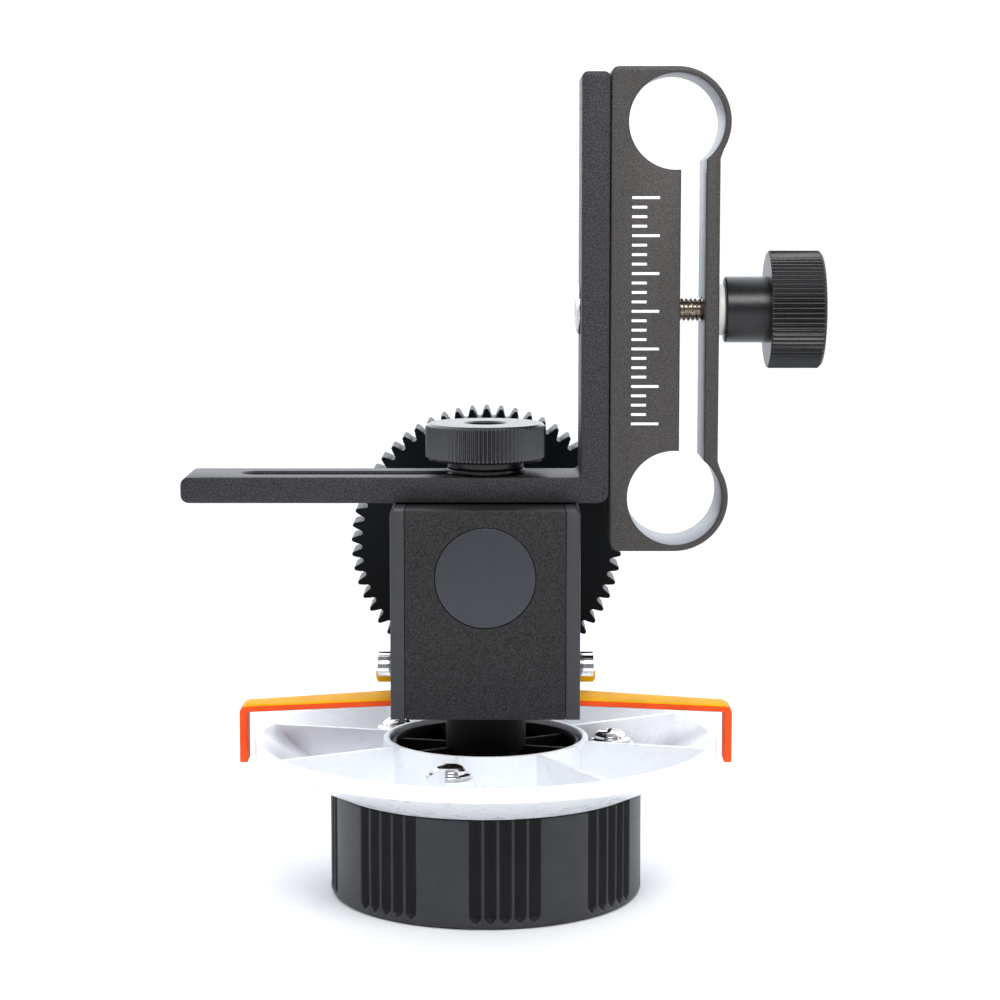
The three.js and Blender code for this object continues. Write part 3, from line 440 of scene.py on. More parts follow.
# The hub's inside is the same plastic as the rim. Its darker black is painted shade in the hub's recess.
HUB_SHADE = moulded_plastic("hub_painted_shade", (0.004, 0.004, 0.004), 0.5, 4200, 0.004, Specular_IOR_Level=0.15)
GEAR = moulded_plastic("gear_plastic", (0.002, 0.003, 0.004), 0.4, 6000, 0.003, Specular_IOR_Level=0.13)
WHITE = smooth_plastic("white_plastic", (0.88, 0.90, 0.94), 0.28)
NYLON = smooth_plastic("nylon", (0.82, 0.81, 0.77), 0.42)
ORANGE = moulded_plastic("orange_paint", (0.86, 0.09, 0.018), 0.5, 2600, 0.02, Specular_IOR_Level=0.05)
# The strip's top is orange paint like the rest. This golden colour is a painted sheen, standing in for the
# yellow light it reflects at grazing angles.
STRIP_TOP_SHEEN = moulded_plastic("orange_top_painted_sheen", (0.84, 0.40, 0.005), 0.5, 2600, 0.02, Specular_IOR_Level=0.03)
STEEL = satin_metal("steel", (0.56, 0.56, 0.57), 0.22)
BEARING = satin_metal("bearing_steel", (0.60, 0.60, 0.62), 0.18)
CHROME = satin_metal("chrome_screw", (0.78, 0.77, 0.76), 0.10, 9000, depth=0.001)
NICKEL = satin_metal("nickel_thread", (0.50, 0.44, 0.38), 0.2)
BRASS = satin_metal("brass", (0.62, 0.42, 0.16), 0.28)
PRINT = smooth_plastic("white_print", (0.85, 0.85, 0.84), 0.5)


# ---------------------------------------------------------------- hardware shapes

def hex_prism(across_flats, low, high):
    return plate([circle(across_flats / 2 / math.cos(math.pi / 6), 6)], low, high)


def cross_recess(reach, width, top, depth):
    """A cross-shaped tool with straight sides."""
    def arm(angle):
        bar = plate([rectangle(-reach, reach, -width / 2, width / 2)], top - depth, top + PAST)
        return turned(bar, angle, "Z")
    return [arm(0), arm(QUARTER)]


def pan_head(radius, height, recess):
    """A round screw head on height 0, with a cross recess."""
    head = lathe(profile(
        (0, 0), (radius, 0, 0.15), (radius, height * 0.4, 0.3), (radius * 0.72, height * 0.9, 0.6),
        (radius * 0.3, height), (0, height),
    ), 48)
    return cut(head, *cross_recess(recess, recess * 0.36, height, height * 0.6))


def cap_head(radius, height, socket):
    head = lathe(profile((0, 0), (radius, 0, 0.1),
                         (radius, height - 0.35, 0.15), (radius - 0.4, height, 0.15),
                         (0, height)), 64)
    return cut(head, hex_prism(socket, height * 0.45, height + PAST))


def shank(radius, length, embed=0.3):
    return rod(radius, -length, embed, 0.2, 32)


def thread(radius, pitch, low, high, steps=40):
    """A bar along Z with a helical V thread."""
    depth = 0.6 * pitch
    rows_per_turn = 8
    rows = int((high - low) / pitch * rows_per_turn)
    heights = [low + (high - low) * row / rows for row in range(rows + 1)]

    def groove(reach, height, angle):
        if height <= low or height >= high:
            return reach - depth
        phase = (height / pitch - angle / TAU) % 1
        return reach - depth * (1 - abs(2 * phase - 1))

    outline = [(0, low), *[(radius, height) for height in heights], (0, high)]
    return lathe(outline, steps, groove)


def knurled(radius, low, high, flutes, depth, low_chamfer, high_chamfer):
    """A knurled head along Z: round-bottomed flutes with narrow ridges, cut off by a chamfer at each end."""
    land = 0.1
    steps = 5

    def rib(reach, height, angle):
        across = abs(2 * (flutes * angle / TAU % 1) - 1)
        fall = max(0.0, across - land) / (1 - land)
        return min(reach, radius - depth * (1 - (1 - fall) ** 2))

    start = [(radius - low_chamfer * (1 - step / steps), low + low_chamfer * step / steps)
             for step in range(steps)]
    end = [(radius - high_chamfer * step / steps, high - high_chamfer * (1 - step / steps))
           for step in range(1, steps + 1)]
    straight = [(radius, low + low_chamfer), (radius, high - high_chamfer)]
    return lathe([(0, low), *start, *straight, *end, (0, high)], flutes * 10, rib)


# ---------------------------------------------------------------- L bracket and rod clamp

arm_low, arm_high = box_mm("l_bracket")
clamp_low, clamp_high = box_mm("rod_clamp")
ARM_THICKNESS = 4.2
UPRIGHT_THICKNESS = 4.55
ARM_EDGE = 0.35
SLOT_HALF = 2.6
SLOT_LEFT = arm_low.x + 9.4
SLOT_RIGHT = 5.6
ROD_SPACING = 60.0
ROD_BORE = 7.6
CLAMP_EDGE = 0.4
TICKS = 25
TICK_SPACING = 1.5
TICKS_PER_LONG_ONE = 4
LONG_TICK = 4.4
SHORT_TICK = 2.4
TICK_HALF_WIDTH = 0.22
RING_RADIUS = 8.65
ROD_X = clamp_high.x - RING_RADIUS
ROD_MIDDLE = (clamp_low.z + clamp_high.z) / 2
SLIT = (ROD_X + 0.7, ROD_X + 4.7)
BAR_RIGHT = ROD_X + 6.95


def stadium(left, right, half):
    return (arc((right - half, 0), half, -QUARTER, QUARTER, 20)
            + arc((left + half, 0), half, QUARTER, 3 * QUARTER, 20))


def bracket_mesh():
    upright_left = arm_high.x - UPRIGHT_THICKNESS
    arm_top = arm_low.z + ARM_THICKNESS
    outline = rounded([
        (arm_low.x, arm_low.z, 1.3), (arm_high.x, arm_low.z, 1.7), (arm_high.x, arm_high.z, 1.0),
        (upright_left, arm_high.z, 1.0), (upright_left, arm_top, 0.8), (arm_low.x, arm_top, 1.3),
    ])
    body = upright([outline], arm_low.y, arm_high.y, ARM_EDGE, 2)
    slot = plate([stadium(SLOT_LEFT, SLOT_RIGHT, SLOT_HALF)], arm_low.z - PAST, arm_top + PAST)
    flare = 0.3
    wide = stadium(SLOT_LEFT - flare, SLOT_RIGHT + flare, SLOT_HALF + flare)
    mouths = [plate([wide], height - flare, height + flare, flare * 0.98, 0)
              for height in (arm_low.z, arm_top)]
    hole = shifted(along_x(rod(2.25, upright_left - PAST, arm_high.x + PAST)), z=ROD_MIDDLE)
    return cut(body, slot, *mouths, hole)


def clamp_mesh():
    upper = (ROD_X, ROD_MIDDLE + ROD_SPACING / 2)
    lower = (ROD_X, ROD_MIDDLE - ROD_SPACING / 2)
    turn = math.acos((BAR_RIGHT - ROD_X) / RING_RADIUS)
    ease = 0.11
    outline = (
        rounded([(clamp_low.x + 9, clamp_low.z), (clamp_low.x, clamp_low.z, 1.5),
                 (clamp_low.x, clamp_high.z, 1.2), (clamp_low.x + 9, clamp_high.z)], closed=False)
        + arc(upper, RING_RADIUS, QUARTER, -turn + ease, 36)
        + [(BAR_RIGHT, upper[1] - RING_RADIUS * math.sin(turn) - 0.7),
           (BAR_RIGHT, lower[1] + RING_RADIUS * math.sin(turn) + 0.7)]
        + arc(lower, RING_RADIUS, turn - ease, -QUARTER, 36)
    )
    left_turn = math.acos((SLIT[0] - ROD_X) / ROD_BORE)
    right_turn = math.acos((SLIT[1] - ROD_X) / ROD_BORE)
    opening = (arc(upper, ROD_BORE, -right_turn, TAU - left_turn, 72)
               + arc(lower, ROD_BORE, left_turn, TAU + right_turn, 72))
    body = upright([outline, opening], clamp_low.y, clamp_high.y, CLAMP_EDGE, 2)
    hole = shifted(along_x(rod(2.2, clamp_low.x - PAST, clamp_high.x + PAST)), z=ROD_MIDDLE)
    return cut(body, hole)


def machined_face(point):
    """The clamp's bores and slit are cut after blasting, so they are smoother."""
    height = abs(point.z - ROD_MIDDLE)
    from_bore = math.hypot(point.x - ROD_X, height - ROD_SPACING / 2)
    in_slit = height < ROD_SPACING / 2 and SLIT[0] - 0.1 < point.x < SLIT[1] + 0.1
    return from_bore < ROD_BORE + 0.05 or in_slit


def build_bracket():
    piece("bracket_plate", bracket_mesh(), "bracket", "bracket_anodised", BRACKET, "l_bracket")
    clamp = piece("clamp_block", clamp_mesh(), "bracket", "clamp_anodised", CLAMP, "rod_clamp")
    refinish(clamp, MACHINED, machined_face)

    head = lathe(profile((0, 0), (4.1, 0, 0.1), (4.1, 0.25, 0.1), (3.6, 0.6, 0.4), (2.2, 0.78), (0, 0.8)), 64)
    head = cut(head, hex_prism(2.5, 0.25, 3))
    screw = joined(head, shank(M4, 9.4))
    low, high = box_mm("clamp_mount_screw")
    screw = shifted(turned(screw, -QUARTER, "Y"), x=low.x + 0.8, z=ROD_MIDDLE)
    piece("mount_screw", screw, "bracket", "steel", STEEL, "clamp_mount_screw")

    ticks = []
    left = (clamp_low.x + SLIT[0]) / 2 - LONG_TICK / 2
    for index in range(TICKS):
        height = ROD_MIDDLE + (index - (TICKS - 1) / 2) * TICK_SPACING
        length = SHORT_TICK if index % TICKS_PER_LONG_ONE else LONG_TICK
        tick = rectangle(left, left + length, height - TICK_HALF_WIDTH, height + TICK_HALF_WIDTH, 0.1)
        ticks.append(upright([tick], clamp_low.y - 0.02, clamp_low.y + 0.2))
    piece("clamp_scale", stack(*ticks), "bracket", "white_plastic", PRINT)


# ---------------------------------------------------------------- clamp screw and lock knob

CLAMP_PITCH = 0.7
CLAMP_FLUTES = 73
CLAMP_HEAD_RADIUS = 9.5
CLAMP_HEAD_LENGTH = 8.7
LOCK_PITCH = 0.8
LOCK_FLUTES = 90
LOCK_HEAD_RADIUS = 9.85
LOCK_HEAD_BOTTOM = 71.6


def build_clamp_knob():
    low, high = box_mm("clamp_knob")
    washer_low, washer_high = box_mm("clamp_washer")
    stud_low, stud_high = box_mm("clamp_screw")
    head_left = high.x - CLAMP_HEAD_LENGTH
    head = knurled(CLAMP_HEAD_RADIUS, head_left, high.x, CLAMP_FLUTES, 0.38, 0.3, 0.5)
    collar = rod(5.35, low.x, head_left + PAST, 0.3, 96)
    dish_floor = high.x - 0.5
    dish = lathe(profile(
        (0, dish_floor), (6.9, dish_floor, 0.2), (7.3, high.x + PAST), (0, high.x + PAST),
    ), 96)
    bore = rod(2.0, low.x - PAST, stud_high.x + 0.1)
    knob = shifted(along_x(cut(joined(head, collar), dish, bore)), z=ROD_MIDDLE)
    piece("clamp_thumbscrew", knob, "clamp_knob", "knob_black", KNOB, "clamp_knob")

    stud = along_x(thread(M4, CLAMP_PITCH, stud_low.x, stud_high.x))
    piece("clamp_stud", shifted(stud, z=ROD_MIDDLE), "clamp_knob", "steel", NICKEL, "clamp_screw")
    washer = along_x(ring(2.25, 4.2, washer_low.x, washer_high.x, 0.25))
    piece("nylon_washer", shifted(washer, z=ROD_MIDDLE), "clamp_travel", "nylon", NYLON, "clamp_washer")


def build_lock_knob():
    low, high = box_mm("lock_knob")
    washer_low, washer_high = box_mm("lock_washer")
    stud_low, stud_high = box_mm("lock_screw")
    head = knurled(LOCK_HEAD_RADIUS, LOCK_HEAD_BOTTOM, high.z, LOCK_FLUTES, 0.32, 0.6, 0.6)
    collar = rod(6.2, low.z, LOCK_HEAD_BOTTOM + PAST, 0.2, 96)
    seat = stud_high.z - 2.9
    well = lathe(profile(
        (0, seat), (3.3, seat), (3.3, high.z - 0.3, 0.1), (3.9, high.z + 0.3), (0, high.z + 0.3),
    ), 64)
    bore = rod(2.6, low.z - PAST, seat + PAST)
    knob = cut(joined(head, collar), well, bore)
    knob = piece("lock_wheel", knob, "lock_knob", "knob_black", KNURL, "lock_knob")
    refinish(knob, KNOB, lambda point: point.z < LOCK_HEAD_BOTTOM or math.hypot(point.x, point.y) < 3.4)
    # The top face takes the lighter black: painted light on the upward face.
    refinish(knob, KNOB_TOP_LIT, lambda point: point.z > high.z - 0.05)

    body = joined(rod(3.1, seat + 0.1, stud_high.z, 0.25, 48), thread(M5, LOCK_PITCH, stud_low.z, seat + 0.6))
    body = cut(body, hex_prism(3.4, stud_high.z - 1.8, stud_high.z + PAST))
    piece("lock_stud", body, "lock_knob", "steel", STEEL, "lock_screw")
    washer = ring(2.65, 6.4, washer_low.z, washer_high.z, 0.2)
    piece("lock_ring", washer, "lock_lift", "knob_black", KNOB, "lock_washer")


# ---------------------------------------------------------------- gearbox

core_low, core_high = box_mm("gearbox_core")
plate_low, plate_high = box_mm("side_plate_right")
SHAFT_Z = middle_mm("shaft_cap").z
CAP_RADIUS = 8.0
SCREW_Z = middle_mm("side_screw_right").z
UPPER_SCREW_Y = -8.0
UPPER_SCREW_Z = 62.3
STRIP_THICKNESS = 1.25
STRIP_DROOP = 1.4
GROOVE_TOP = core_low.z + STRIP_THICKNESS + 0.3
HUB_RADIUS = 10.5


def groove_tools():
    low = (-plate_high.x - PAST, -4.3, core_low.z - PAST)
    high = (plate_high.x + PAST, 4.3, GROOVE_TOP)
    return block(low, high)


def core_mesh():
    body = block(core_low, core_high, 0.25)
    room = block((core_low.x - PAST, -11.5, 41.9), (core_high.x + PAST, core_high.y + PAST, 60.0))
    cap_seat = along_y(rod(CAP_RADIUS + 0.12, core_low.y - PAST, core_low.y + 1.2, steps=128))
    cap_seat = shifted(cap_seat, z=SHAFT_Z)
    front_bore = shifted(along_y(rod(BEARING_LIP, core_low.y, -10, steps=64)), z=SHAFT_Z)
    gear_room = shifted(along_y(rod(9.3, 3.6, core_high.y + PAST, steps=96)), z=SHAFT_Z)
    floor_bore = rod(BEARING_LIP, core_low.z - PAST, 45, steps=64)
    seat = rod(BEARING_SEAT, 34.35, 45, steps=64)
    hub = rod(HUB_RADIUS + 0.3, core_low.z - PAST, GROOVE_TOP, steps=96)
    stud_hole = rod(2.65, 58, core_high.z + PAST)
    pin_hole = shifted(rod(2.45, 61, core_high.z + PAST), x=middle_mm("guide_pin").x)
    bores = [cap_seat, front_bore, gear_room, floor_bore, seat]
    return cut(body, room, *bores, hub, groove_tools(), stud_hole, pin_hole)


def side_mesh(side):
    bevel = 0.6
    outline = [(plate_low.x, plate_low.z), (plate_high.x, plate_low.z), (plate_high.x, plate_high.z - bevel),
               (plate_high.x - bevel, plate_high.z), (plate_low.x, plate_high.z)]
    body = upright([[(side * x, z) for x, z in outline]], plate_low.y, plate_high.y, 0.25, 1)
    start = plate_low.x - PAST
    end = plate_high.x + PAST
    screw_hole = shifted(along_x(rod(M3_HOLE, start, end)), z=SCREW_Z)
    sunk = lathe(profile(
        (0, start), (1.4, start), (1.4, plate_high.x - 1.2), (2.55, plate_high.x), (2.55, end), (0, end),
    ), 48)
    sink = shifted(along_x(sunk), y=UPPER_SCREW_Y, z=UPPER_SCREW_Z)
    if side < 0:
        screw_hole = turned(screw_hole, math.pi, "Z")
        sink = moved(sink, Matrix.Scale(-1, 4, (1, 0, 0)))
        sink.flip_normals()
    return cut(body, screw_hole, sink, groove_tools())


def rear_mesh():
    low, high = box_mm("rear_plate")
    outer = low.y + 2.35
    body = shifted(along_y(plate([rectangle(low.x, high.x, -high.z, -low.z)], low.y, outer, 0.25)))
    boss = shifted(along_y(rod(9.0, outer - PAST, high.y, 0.5, 96)), z=SHAFT_Z)
    bores = [shifted(along_y(rod(radius, low.y - PAST, end, steps=64)), z=SHAFT_Z)
             for radius, end in ((BEARING_SEAT, 16.65), (4.5, high.y + PAST))]
    mouth = lathe(profile((0, high.y - 0.5), (4.5, high.y - 0.5), (5.1, high.y + 0.1), (0, high.y + 0.1)), 64)
    return cut(joined(body, boss), *bores, shifted(along_y(mouth), z=SHAFT_Z))


def build_gearbox():
    piece("box_core", core_mesh(), "gearbox", "box_anodised", BOX, "gearbox_core")
    piece("box_side_left", side_mesh(-1), "gearbox", "box_anodised", SIDE, "side_plate_left")
    piece("box_side_right", side_mesh(1), "gearbox", "box_anodised", SIDE, "side_plate_right")
    piece("box_rear", rear_mesh(), "gearbox", "box_anodised", BOX, "rear_plate")

    low, high = box_mm("shaft_cap")
    cap = shifted(along_y(rod(CAP_RADIUS, low.y, high.y, 0.12, 128)), z=SHAFT_Z)
    piece("front_cap", cap, "gearbox", "cap_anodised", CAP, "shaft_cap")

    for word, side in (("left", -1), ("right", 1)):
        name = f"side_screw_{word}"
        low, high = box_mm(name)
        head_height = 2.9
        screw = joined(cap_head(2.5, head_height, 2.5), shank(M3, high.x - low.x - head_height))
        tip = high.x if side > 0 else low.x
        screw = shifted(turned(screw, side * QUARTER, "Y"), x=tip - side * head_height, z=SCREW_Z)
        piece(f"box_screw_{word}", screw, "gearbox", "chrome_screw", CHROME, name)

        name = f"sunk_screw_{word}"
        low, high = box_mm(name)
        middle = middle_mm(name)
        length = high.x - low.x
        sunk = lathe(profile((0, -length), (M25, -length, 0.2), (M25, -1.1), (2.2, 0, 0.05), (0, 0)), 48)
        sunk = cut(sunk, *cross_recess(1.4, 0.45, 0, 0.8))
        tip = high.x if side > 0 else low.x
        sunk = shifted(turned(sunk, side * QUARTER, "Y"), x=tip, y=middle.y, z=middle.z)
        piece(f"box_flat_screw_{word}", sunk, "gearbox", "steel", STEEL, name)

    for index in range(1, 5):
        name = f"rear_screw_{index}"
        low, high = box_mm(name)
        middle = middle_mm(name)
        head_height = 1.5
        screw = joined(pan_head(2.2, head_height, 1.3), shank(M25, high.y - low.y - head_height))
        screw = shifted(along_y(screw), x=middle.x, y=high.y - head_height, z=middle.z)
        piece(f"back_screw_{index}", screw, "gearbox", "steel", STEEL, name)

    for index in (1, 2):
        name = f"index_screw_{index}"
        low, high = box_mm(name)
        middle = middle_mm(name)
        head_height = 0.9
        screw = joined(pan_head(1.7, head_height, 1.0), shank(M2, high.z - low.z - head_height))
        screw = shifted(turned(screw, math.pi, "X"), y=middle.y, z=low.z + head_height)
        piece(f"strip_screw_{index}", screw, "gearbox", "steel", STEEL, name)


# ---------------------------------------------------------------- index bracket

def strip_path():
    """Half of the strip's upper line in (x, z): level under the box, a slight droop, then the bent tab."""
    low, high = box_mm("index_bracket")
    droop = high.z - STRIP_DROOP
    return rounded([(0, high.z), (plate_high.x, high.z, 30), (high.x, droop, 1.5), (high.x, low.z)],
                   closed=False, steps=8)


def strip_mesh():
    """A strip swept along its side view, narrowing outwards, with softened edges."""
    half = strip_path()
    path = [(-x, z) for x, z in reversed(half[1:])] + half
    inner_half, outer_half = 4.0, 2.5
    edge = 0.25
    low, high = box_mm("index_bracket")
    bm = bmesh.new()
    loops = []
    for index, point in enumerate(path):
        here = Vector(point)
        before = Vector(path[max(index - 1, 0)])
        after = Vector(path[min(index + 1, len(path) - 1)])
        first = (here - before).normalized() if index else (after - here).normalized()
        last = (after - here).normalized() if index < len(path) - 1 else first
        direction = (first + last).normalized()
        normal = Vector((-direction.y, direction.x))
        stretch = 1 / max(0.5, normal.dot(Vector((-first.y, first.x))))
        share = max(0.0, min(1.0, (abs(here.x) - plate_high.x) / (high.x - plate_high.x)))
        width = inner_half + (outer_half - inner_half) * share
        section = rectangle(-width, width, -STRIP_THICKNESS, 0, edge)
        offset = normal * stretch
        loops.append([bm.verts.new((here.x + offset.x * depth, across, here.y + offset.y * depth))
                      for across, depth in section])
    for near, far in zip(loops, loops[1:]):
        for index in range(len(near)):
            after = (index + 1) % len(near)
            bm.faces.new((near[index], near[after], far[after], far[index]))
    bm.faces.new(loops[0])
    bm.faces.new(reversed(loops[-1]))
    strip = collect(bm)
    hub = rod(HUB_RADIUS, high.z - STRIP_THICKNESS, high.z, 0.15, 96)
    under = high.z - 5
    holes = [rod(6.9, under, high.z + PAST, steps=96)]
    holes += [shifted(rod(1.15, under, high.z + PAST), y=middle_mm(f"index_screw_{index}").y)
              for index in (1, 2)]
    return cut(joined(strip, hub), *holes)


def build_strip():
    """The painted strip. Its upper side is given a golden colour, a painted sheen on the orange paint. The
    underside of its level part is given a grey steel finish in place of its orange paint, to keep orange
    bounce light off the white disc.
    """
    strip = piece("index_strip", strip_mesh(), "gearbox", "orange_paint", ORANGE, "index_bracket")
    low, high = box_mm("index_bracket")

    def below_top(point):
        share = max(0.0, (abs(point.x) - plate_high.x) / (high.x - plate_high.x))
        return high.z - STRIP_DROOP * share - point.z

    # The upper faces take the golden colour: a painted sheen.
    refinish(strip, STRIP_TOP_SHEEN, lambda point: abs(point.x) < high.x - 0.6 and below_top(point) < 0.3)
    # The underside is really orange paint. It is given grey steel here to keep orange bounce light off the
    # white disc below.
    refinish(strip, BEARING, lambda point: abs(point.x) < high.x - 3
             and abs(below_top(point) - STRIP_THICKNESS) < 0.12)


# ---------------------------------------------------------------- handwheel and disc

wheel_high = box_mm("handwheel")[1]
disc_low, disc_high = box_mm("marking_disc")
WHEEL_RADIUS = wheel_high.x
WHEEL_HEIGHT = 17.6
GRIP_GROUPS = 8
GRIP_FIRST = math.radians(-82.85)
GROOVES = 5
GROOVE_PITCH = math.radians(5.27)
GROOVE_DEPTH = 0.7
GRIP_LOW = 0.9
GRIP_RUN_OUT = 1.0
RIBS = 8
FIRST_RIB = math.radians(-15)
FIXING_SEAT = 23.4
RIM_SIDE_BOTTOM = 23.4


def grip_radius(radius, height, angle):
    """The rim's radius: groups of V grooves whose lower ends run out to points above the lower edge."""
    if radius < WHEEL_RADIUS - 0.3 or height < GRIP_LOW:
        return radius
    step = TAU / GRIP_GROUPS
    local = (angle - GRIP_FIRST + step / 2) % step - step / 2
    place = local / GROOVE_PITCH + GROOVES / 2
    if not 0 < place < GROOVES:
        return radius
    depth = GROOVE_DEPTH * min(1.0, 1.15 * (1 - abs(2 * (place % 1) - 1)))
    fade = min(1.0, (height - GRIP_LOW) / GRIP_RUN_OUT)
    return radius - max(0.0, depth - (1 - fade) * GROOVE_DEPTH)


def in_groove(point):
    depth = WHEEL_RADIUS - math.hypot(point.x, point.y)
    return point.z > GRIP_LOW and 0.13 < depth < GROOVE_DEPTH + 0.1


def wheel_mesh():
    skirt_inner = 23.2
    face = 2.6
    neck_radius = 6.6
    heights = [GRIP_LOW + GRIP_RUN_OUT * step / 6 for step in range(7)] + [6.0, 12.0, WHEEL_HEIGHT - 0.15]
    corners = [(0, 0), (24.6, 0), (25.1, 0.12), (25.5, 0.45)]
    corners += [(WHEEL_RADIUS, height) for height in heights]
    corners += [
        (WHEEL_RADIUS - 0.15, WHEEL_HEIGHT), (skirt_inner, WHEEL_HEIGHT), (skirt_inner, face),
        (15.5, face), (15.5, 24.8), (15.3, 25.0), (15.0, 25.0), (14.8, 24.8), (14.8, face),
        (neck_radius, face), (neck_radius, wheel_high.z - 0.3), (neck_radius - 0.3, wheel_high.z),
        (0, wheel_high.z),
    ]
    cup = lathe(corners, 1152, grip_radius)
    rib_height = 24.4
    ribs = [turned(block((neck_radius - 0.5, -0.5, face - 0.5), (15.1, 0.5, rib_height), 0.15),
                   FIRST_RIB + TAU * index / RIBS, "Z") for index in range(RIBS)]
    posts, holes = [], []
    for index in (1, 2, 3):
        middle = middle_mm(f"disc_screw_{index}")
        place = {"x": middle.x, "y": middle.y}
        posts.append(shifted(rod(3.2, face - PAST, WHEEL_HEIGHT, steps=32), **place))
        holes.append(shifted(rod(M3_HOLE, 8, WHEEL_HEIGHT + PAST, steps=24), **place))
    cap_low, cap_high = box_mm("wheel_cap")
    recess = [
        rod(cap_high.x + 0.25, -PAST, cap_high.z + 0.15, steps=96), rod(3.6, 0, 4.2), rod(M3_HOLE, 0, 7),
        rod(SHAFT_BORE, 6, wheel_high.z + PAST),
    ]
    return cut(joined(cup, *ribs, *posts), *recess, *holes)


def disc_mesh():
    bottom, top = disc_low.z, disc_high.z
    radius = disc_high.x
    floor = 19.6
    bore = 15.9
    dish = lathe(profile(
        (bore, bottom, 0.15), (WHEEL_RADIUS + 0.1, bottom, 0.3),
        (radius, RIM_SIDE_BOTTOM, 0.25), (radius, top, 0.3),
        (radius - 0.9, top, 0.3), (31.2, 20.9, 4), (27, floor, 5), (17.4, floor, 0.5), (16.9, top, 0.3),
        (bore, top, 0.25), closed=True), 256)
    side = [(16.5, floor - 0.5), (27.5, floor - 0.4), (radius - 0.45, 24.3), (radius - 0.45, top - 0.25),
            (radius - 0.7, top - 0.08), (16.5, top - 0.08)]
    ribs = [turned(upright([side], -0.45, 0.45), FIRST_RIB + TAU * index / RIBS, "Z")
            for index in range(RIBS)]
    posts, cuts = [], []
    for index in (1, 2, 3):
        middle = middle_mm(f"disc_screw_{index}")
        place = {"x": middle.x, "y": middle.y}
        posts.append(shifted(rod(4.1, floor - 0.5, FIXING_SEAT, 0.2), **place))
        cuts.append(shifted(rod(4.1, FIXING_SEAT, top + PAST), **place))
        cuts.append(shifted(rod(1.8, bottom - PAST, FIXING_SEAT + PAST, steps=24), **place))
    return cut(joined(dish, *ribs, *posts), *cuts)


def disc_screw_mesh(index):
    low, high = box_mm(f"disc_screw_{index}")
    middle = middle_mm(f"disc_screw_{index}")
    seat = high.z - 2.0
    head = lathe(profile((0, 0), (3.45, 0, 0.15), (3.45, 0.6, 0.2), (2.7, 0.75, 0.15), (2.6, 1.2, 0.4),
                         (2.0, 1.8, 0.8), (0.8, 2.0), (0, 2.0)), 64)
    head = cut(head, *cross_recess(1.6, 0.6, 2.0, 1.2))
    screw = joined(head, rod(M3, low.z - seat, 0.3, 0.3, 32))
    return shifted(turned(screw, 0.7 * index, "Z"), x=middle.x, y=middle.y, z=seat)


def build_wheel():
    rim = piece("focus_wheel", wheel_mesh(), "wheel", "wheel_plastic", WHEEL, "handwheel")
    # Faces inside the hub take the darker black: painted shade in the recess.
    refinish(rim, HUB_SHADE, lambda point: math.hypot(point.x, point.y) < 14.9 and point.z > 2)
    # Faces in the grooves take the darker colour, painted shade in the grooves, over their own rougher
    # finish.
    refinish(rim, GROOVE_SHADE, in_groove)
    piece("focus_disc", disc_mesh(), "wheel", "white_plastic", WHITE, "marking_disc")
    for index in (1, 2, 3):
        name = f"disc_screw_{index}"
        piece(f"disc_fixing_{index}", disc_screw_mesh(index), "wheel", "chrome_screw", CHROME, name)

    low, high = box_mm("wheel_cap")
    radius = high.x - 0.01
    cap = lathe(profile(
        (0, 0.35), (4.0, 0.3, 1.0), (5.0, 0), (radius, 0, 0.25), (radius, high.z, 0.2), (0, high.z),
    ), 128)
    piece("wheel_centre_cap", cap, "wheel", "wheel_plastic", WHEEL, "wheel_cap")


# ---------------------------------------------------------------- drive gear

gear_low, gear_high = box_mm("drive_gear")
GEAR_MODULE = 0.8
GEAR_TEETH = 57
PRESSURE = math.radians(20)
BACKLASH = 0.1
FOOT_ROUNDING = 0.25
TIP_CHAMFER = 0.12


def involute(angle):
    return math.tan(angle) - angle


def gear_outline():
    pitch = GEAR_MODULE * GEAR_TEETH / 2
    base = pitch * math.cos(PRESSURE)
    root = pitch - 1.25 * GEAR_MODULE
    tip = pitch + GEAR_MODULE
    half_pitch = (QUARTER * GEAR_MODULE - BACKLASH) / 2 / pitch

    def half_angle(radius):
        slope = math.acos(min(1, base / radius))
        return half_pitch + involute(PRESSURE) - involute(slope)

    flank_foot = root + FOOT_ROUNDING
    flank = [flank_foot + (tip - TIP_CHAMFER - flank_foot) * step / 4 for step in range(5)]
    points = []
    for tooth in range(GEAR_TEETH):
        middle = TAU * tooth / GEAR_TEETH - QUARTER
        foot = half_angle(flank[0]) + FOOT_ROUNDING / pitch
        side = [(root, foot), *[(radius, half_angle(radius)) for radius in flank],
                (tip, half_angle(tip) - TIP_CHAMFER / pitch)]
        points += [polar(radius, middle - half) for radius, half in side]
        points += [polar(radius, middle + half) for radius, half in reversed(side)]
    return points


def gear_mesh():
    middle = middle_mm("drive_gear")
    body = plate([gear_outline()], gear_low.y, gear_high.y, 0.12, 0)
    web_floor = gear_high.y - 1.5
    web = lathe(profile(
        (9, gear_high.y + PAST), (18.5, gear_high.y + PAST), (18.2, web_floor), (9.3, web_floor), closed=True,
    ), 160)
    bore = rod(SHAFT_BORE, gear_low.y - PAST, gear_high.y + PAST)
    gear = along_y(cut(body, web, bore))
    return shifted(gear, z=middle.z)


def output_shaft_mesh():
    low, high = box_mm("output_shaft")
    collar_front = box_mm("rear_plate")[1].y + 0.3
    collar_back = gear_low.y - 0.3
    outline = profile(
        (0, low.y), (SHAFT_RADIUS, low.y, 0.4), (SHAFT_RADIUS, collar_front),
        (6, collar_front, 0.4), (6, collar_back, 0.4),
        (SHAFT_RADIUS, collar_back), (SHAFT_RADIUS, high.y, 0.3), (0, high.y),
    )
    return shifted(along_y(lathe(outline, 96)), z=SHAFT_Z)


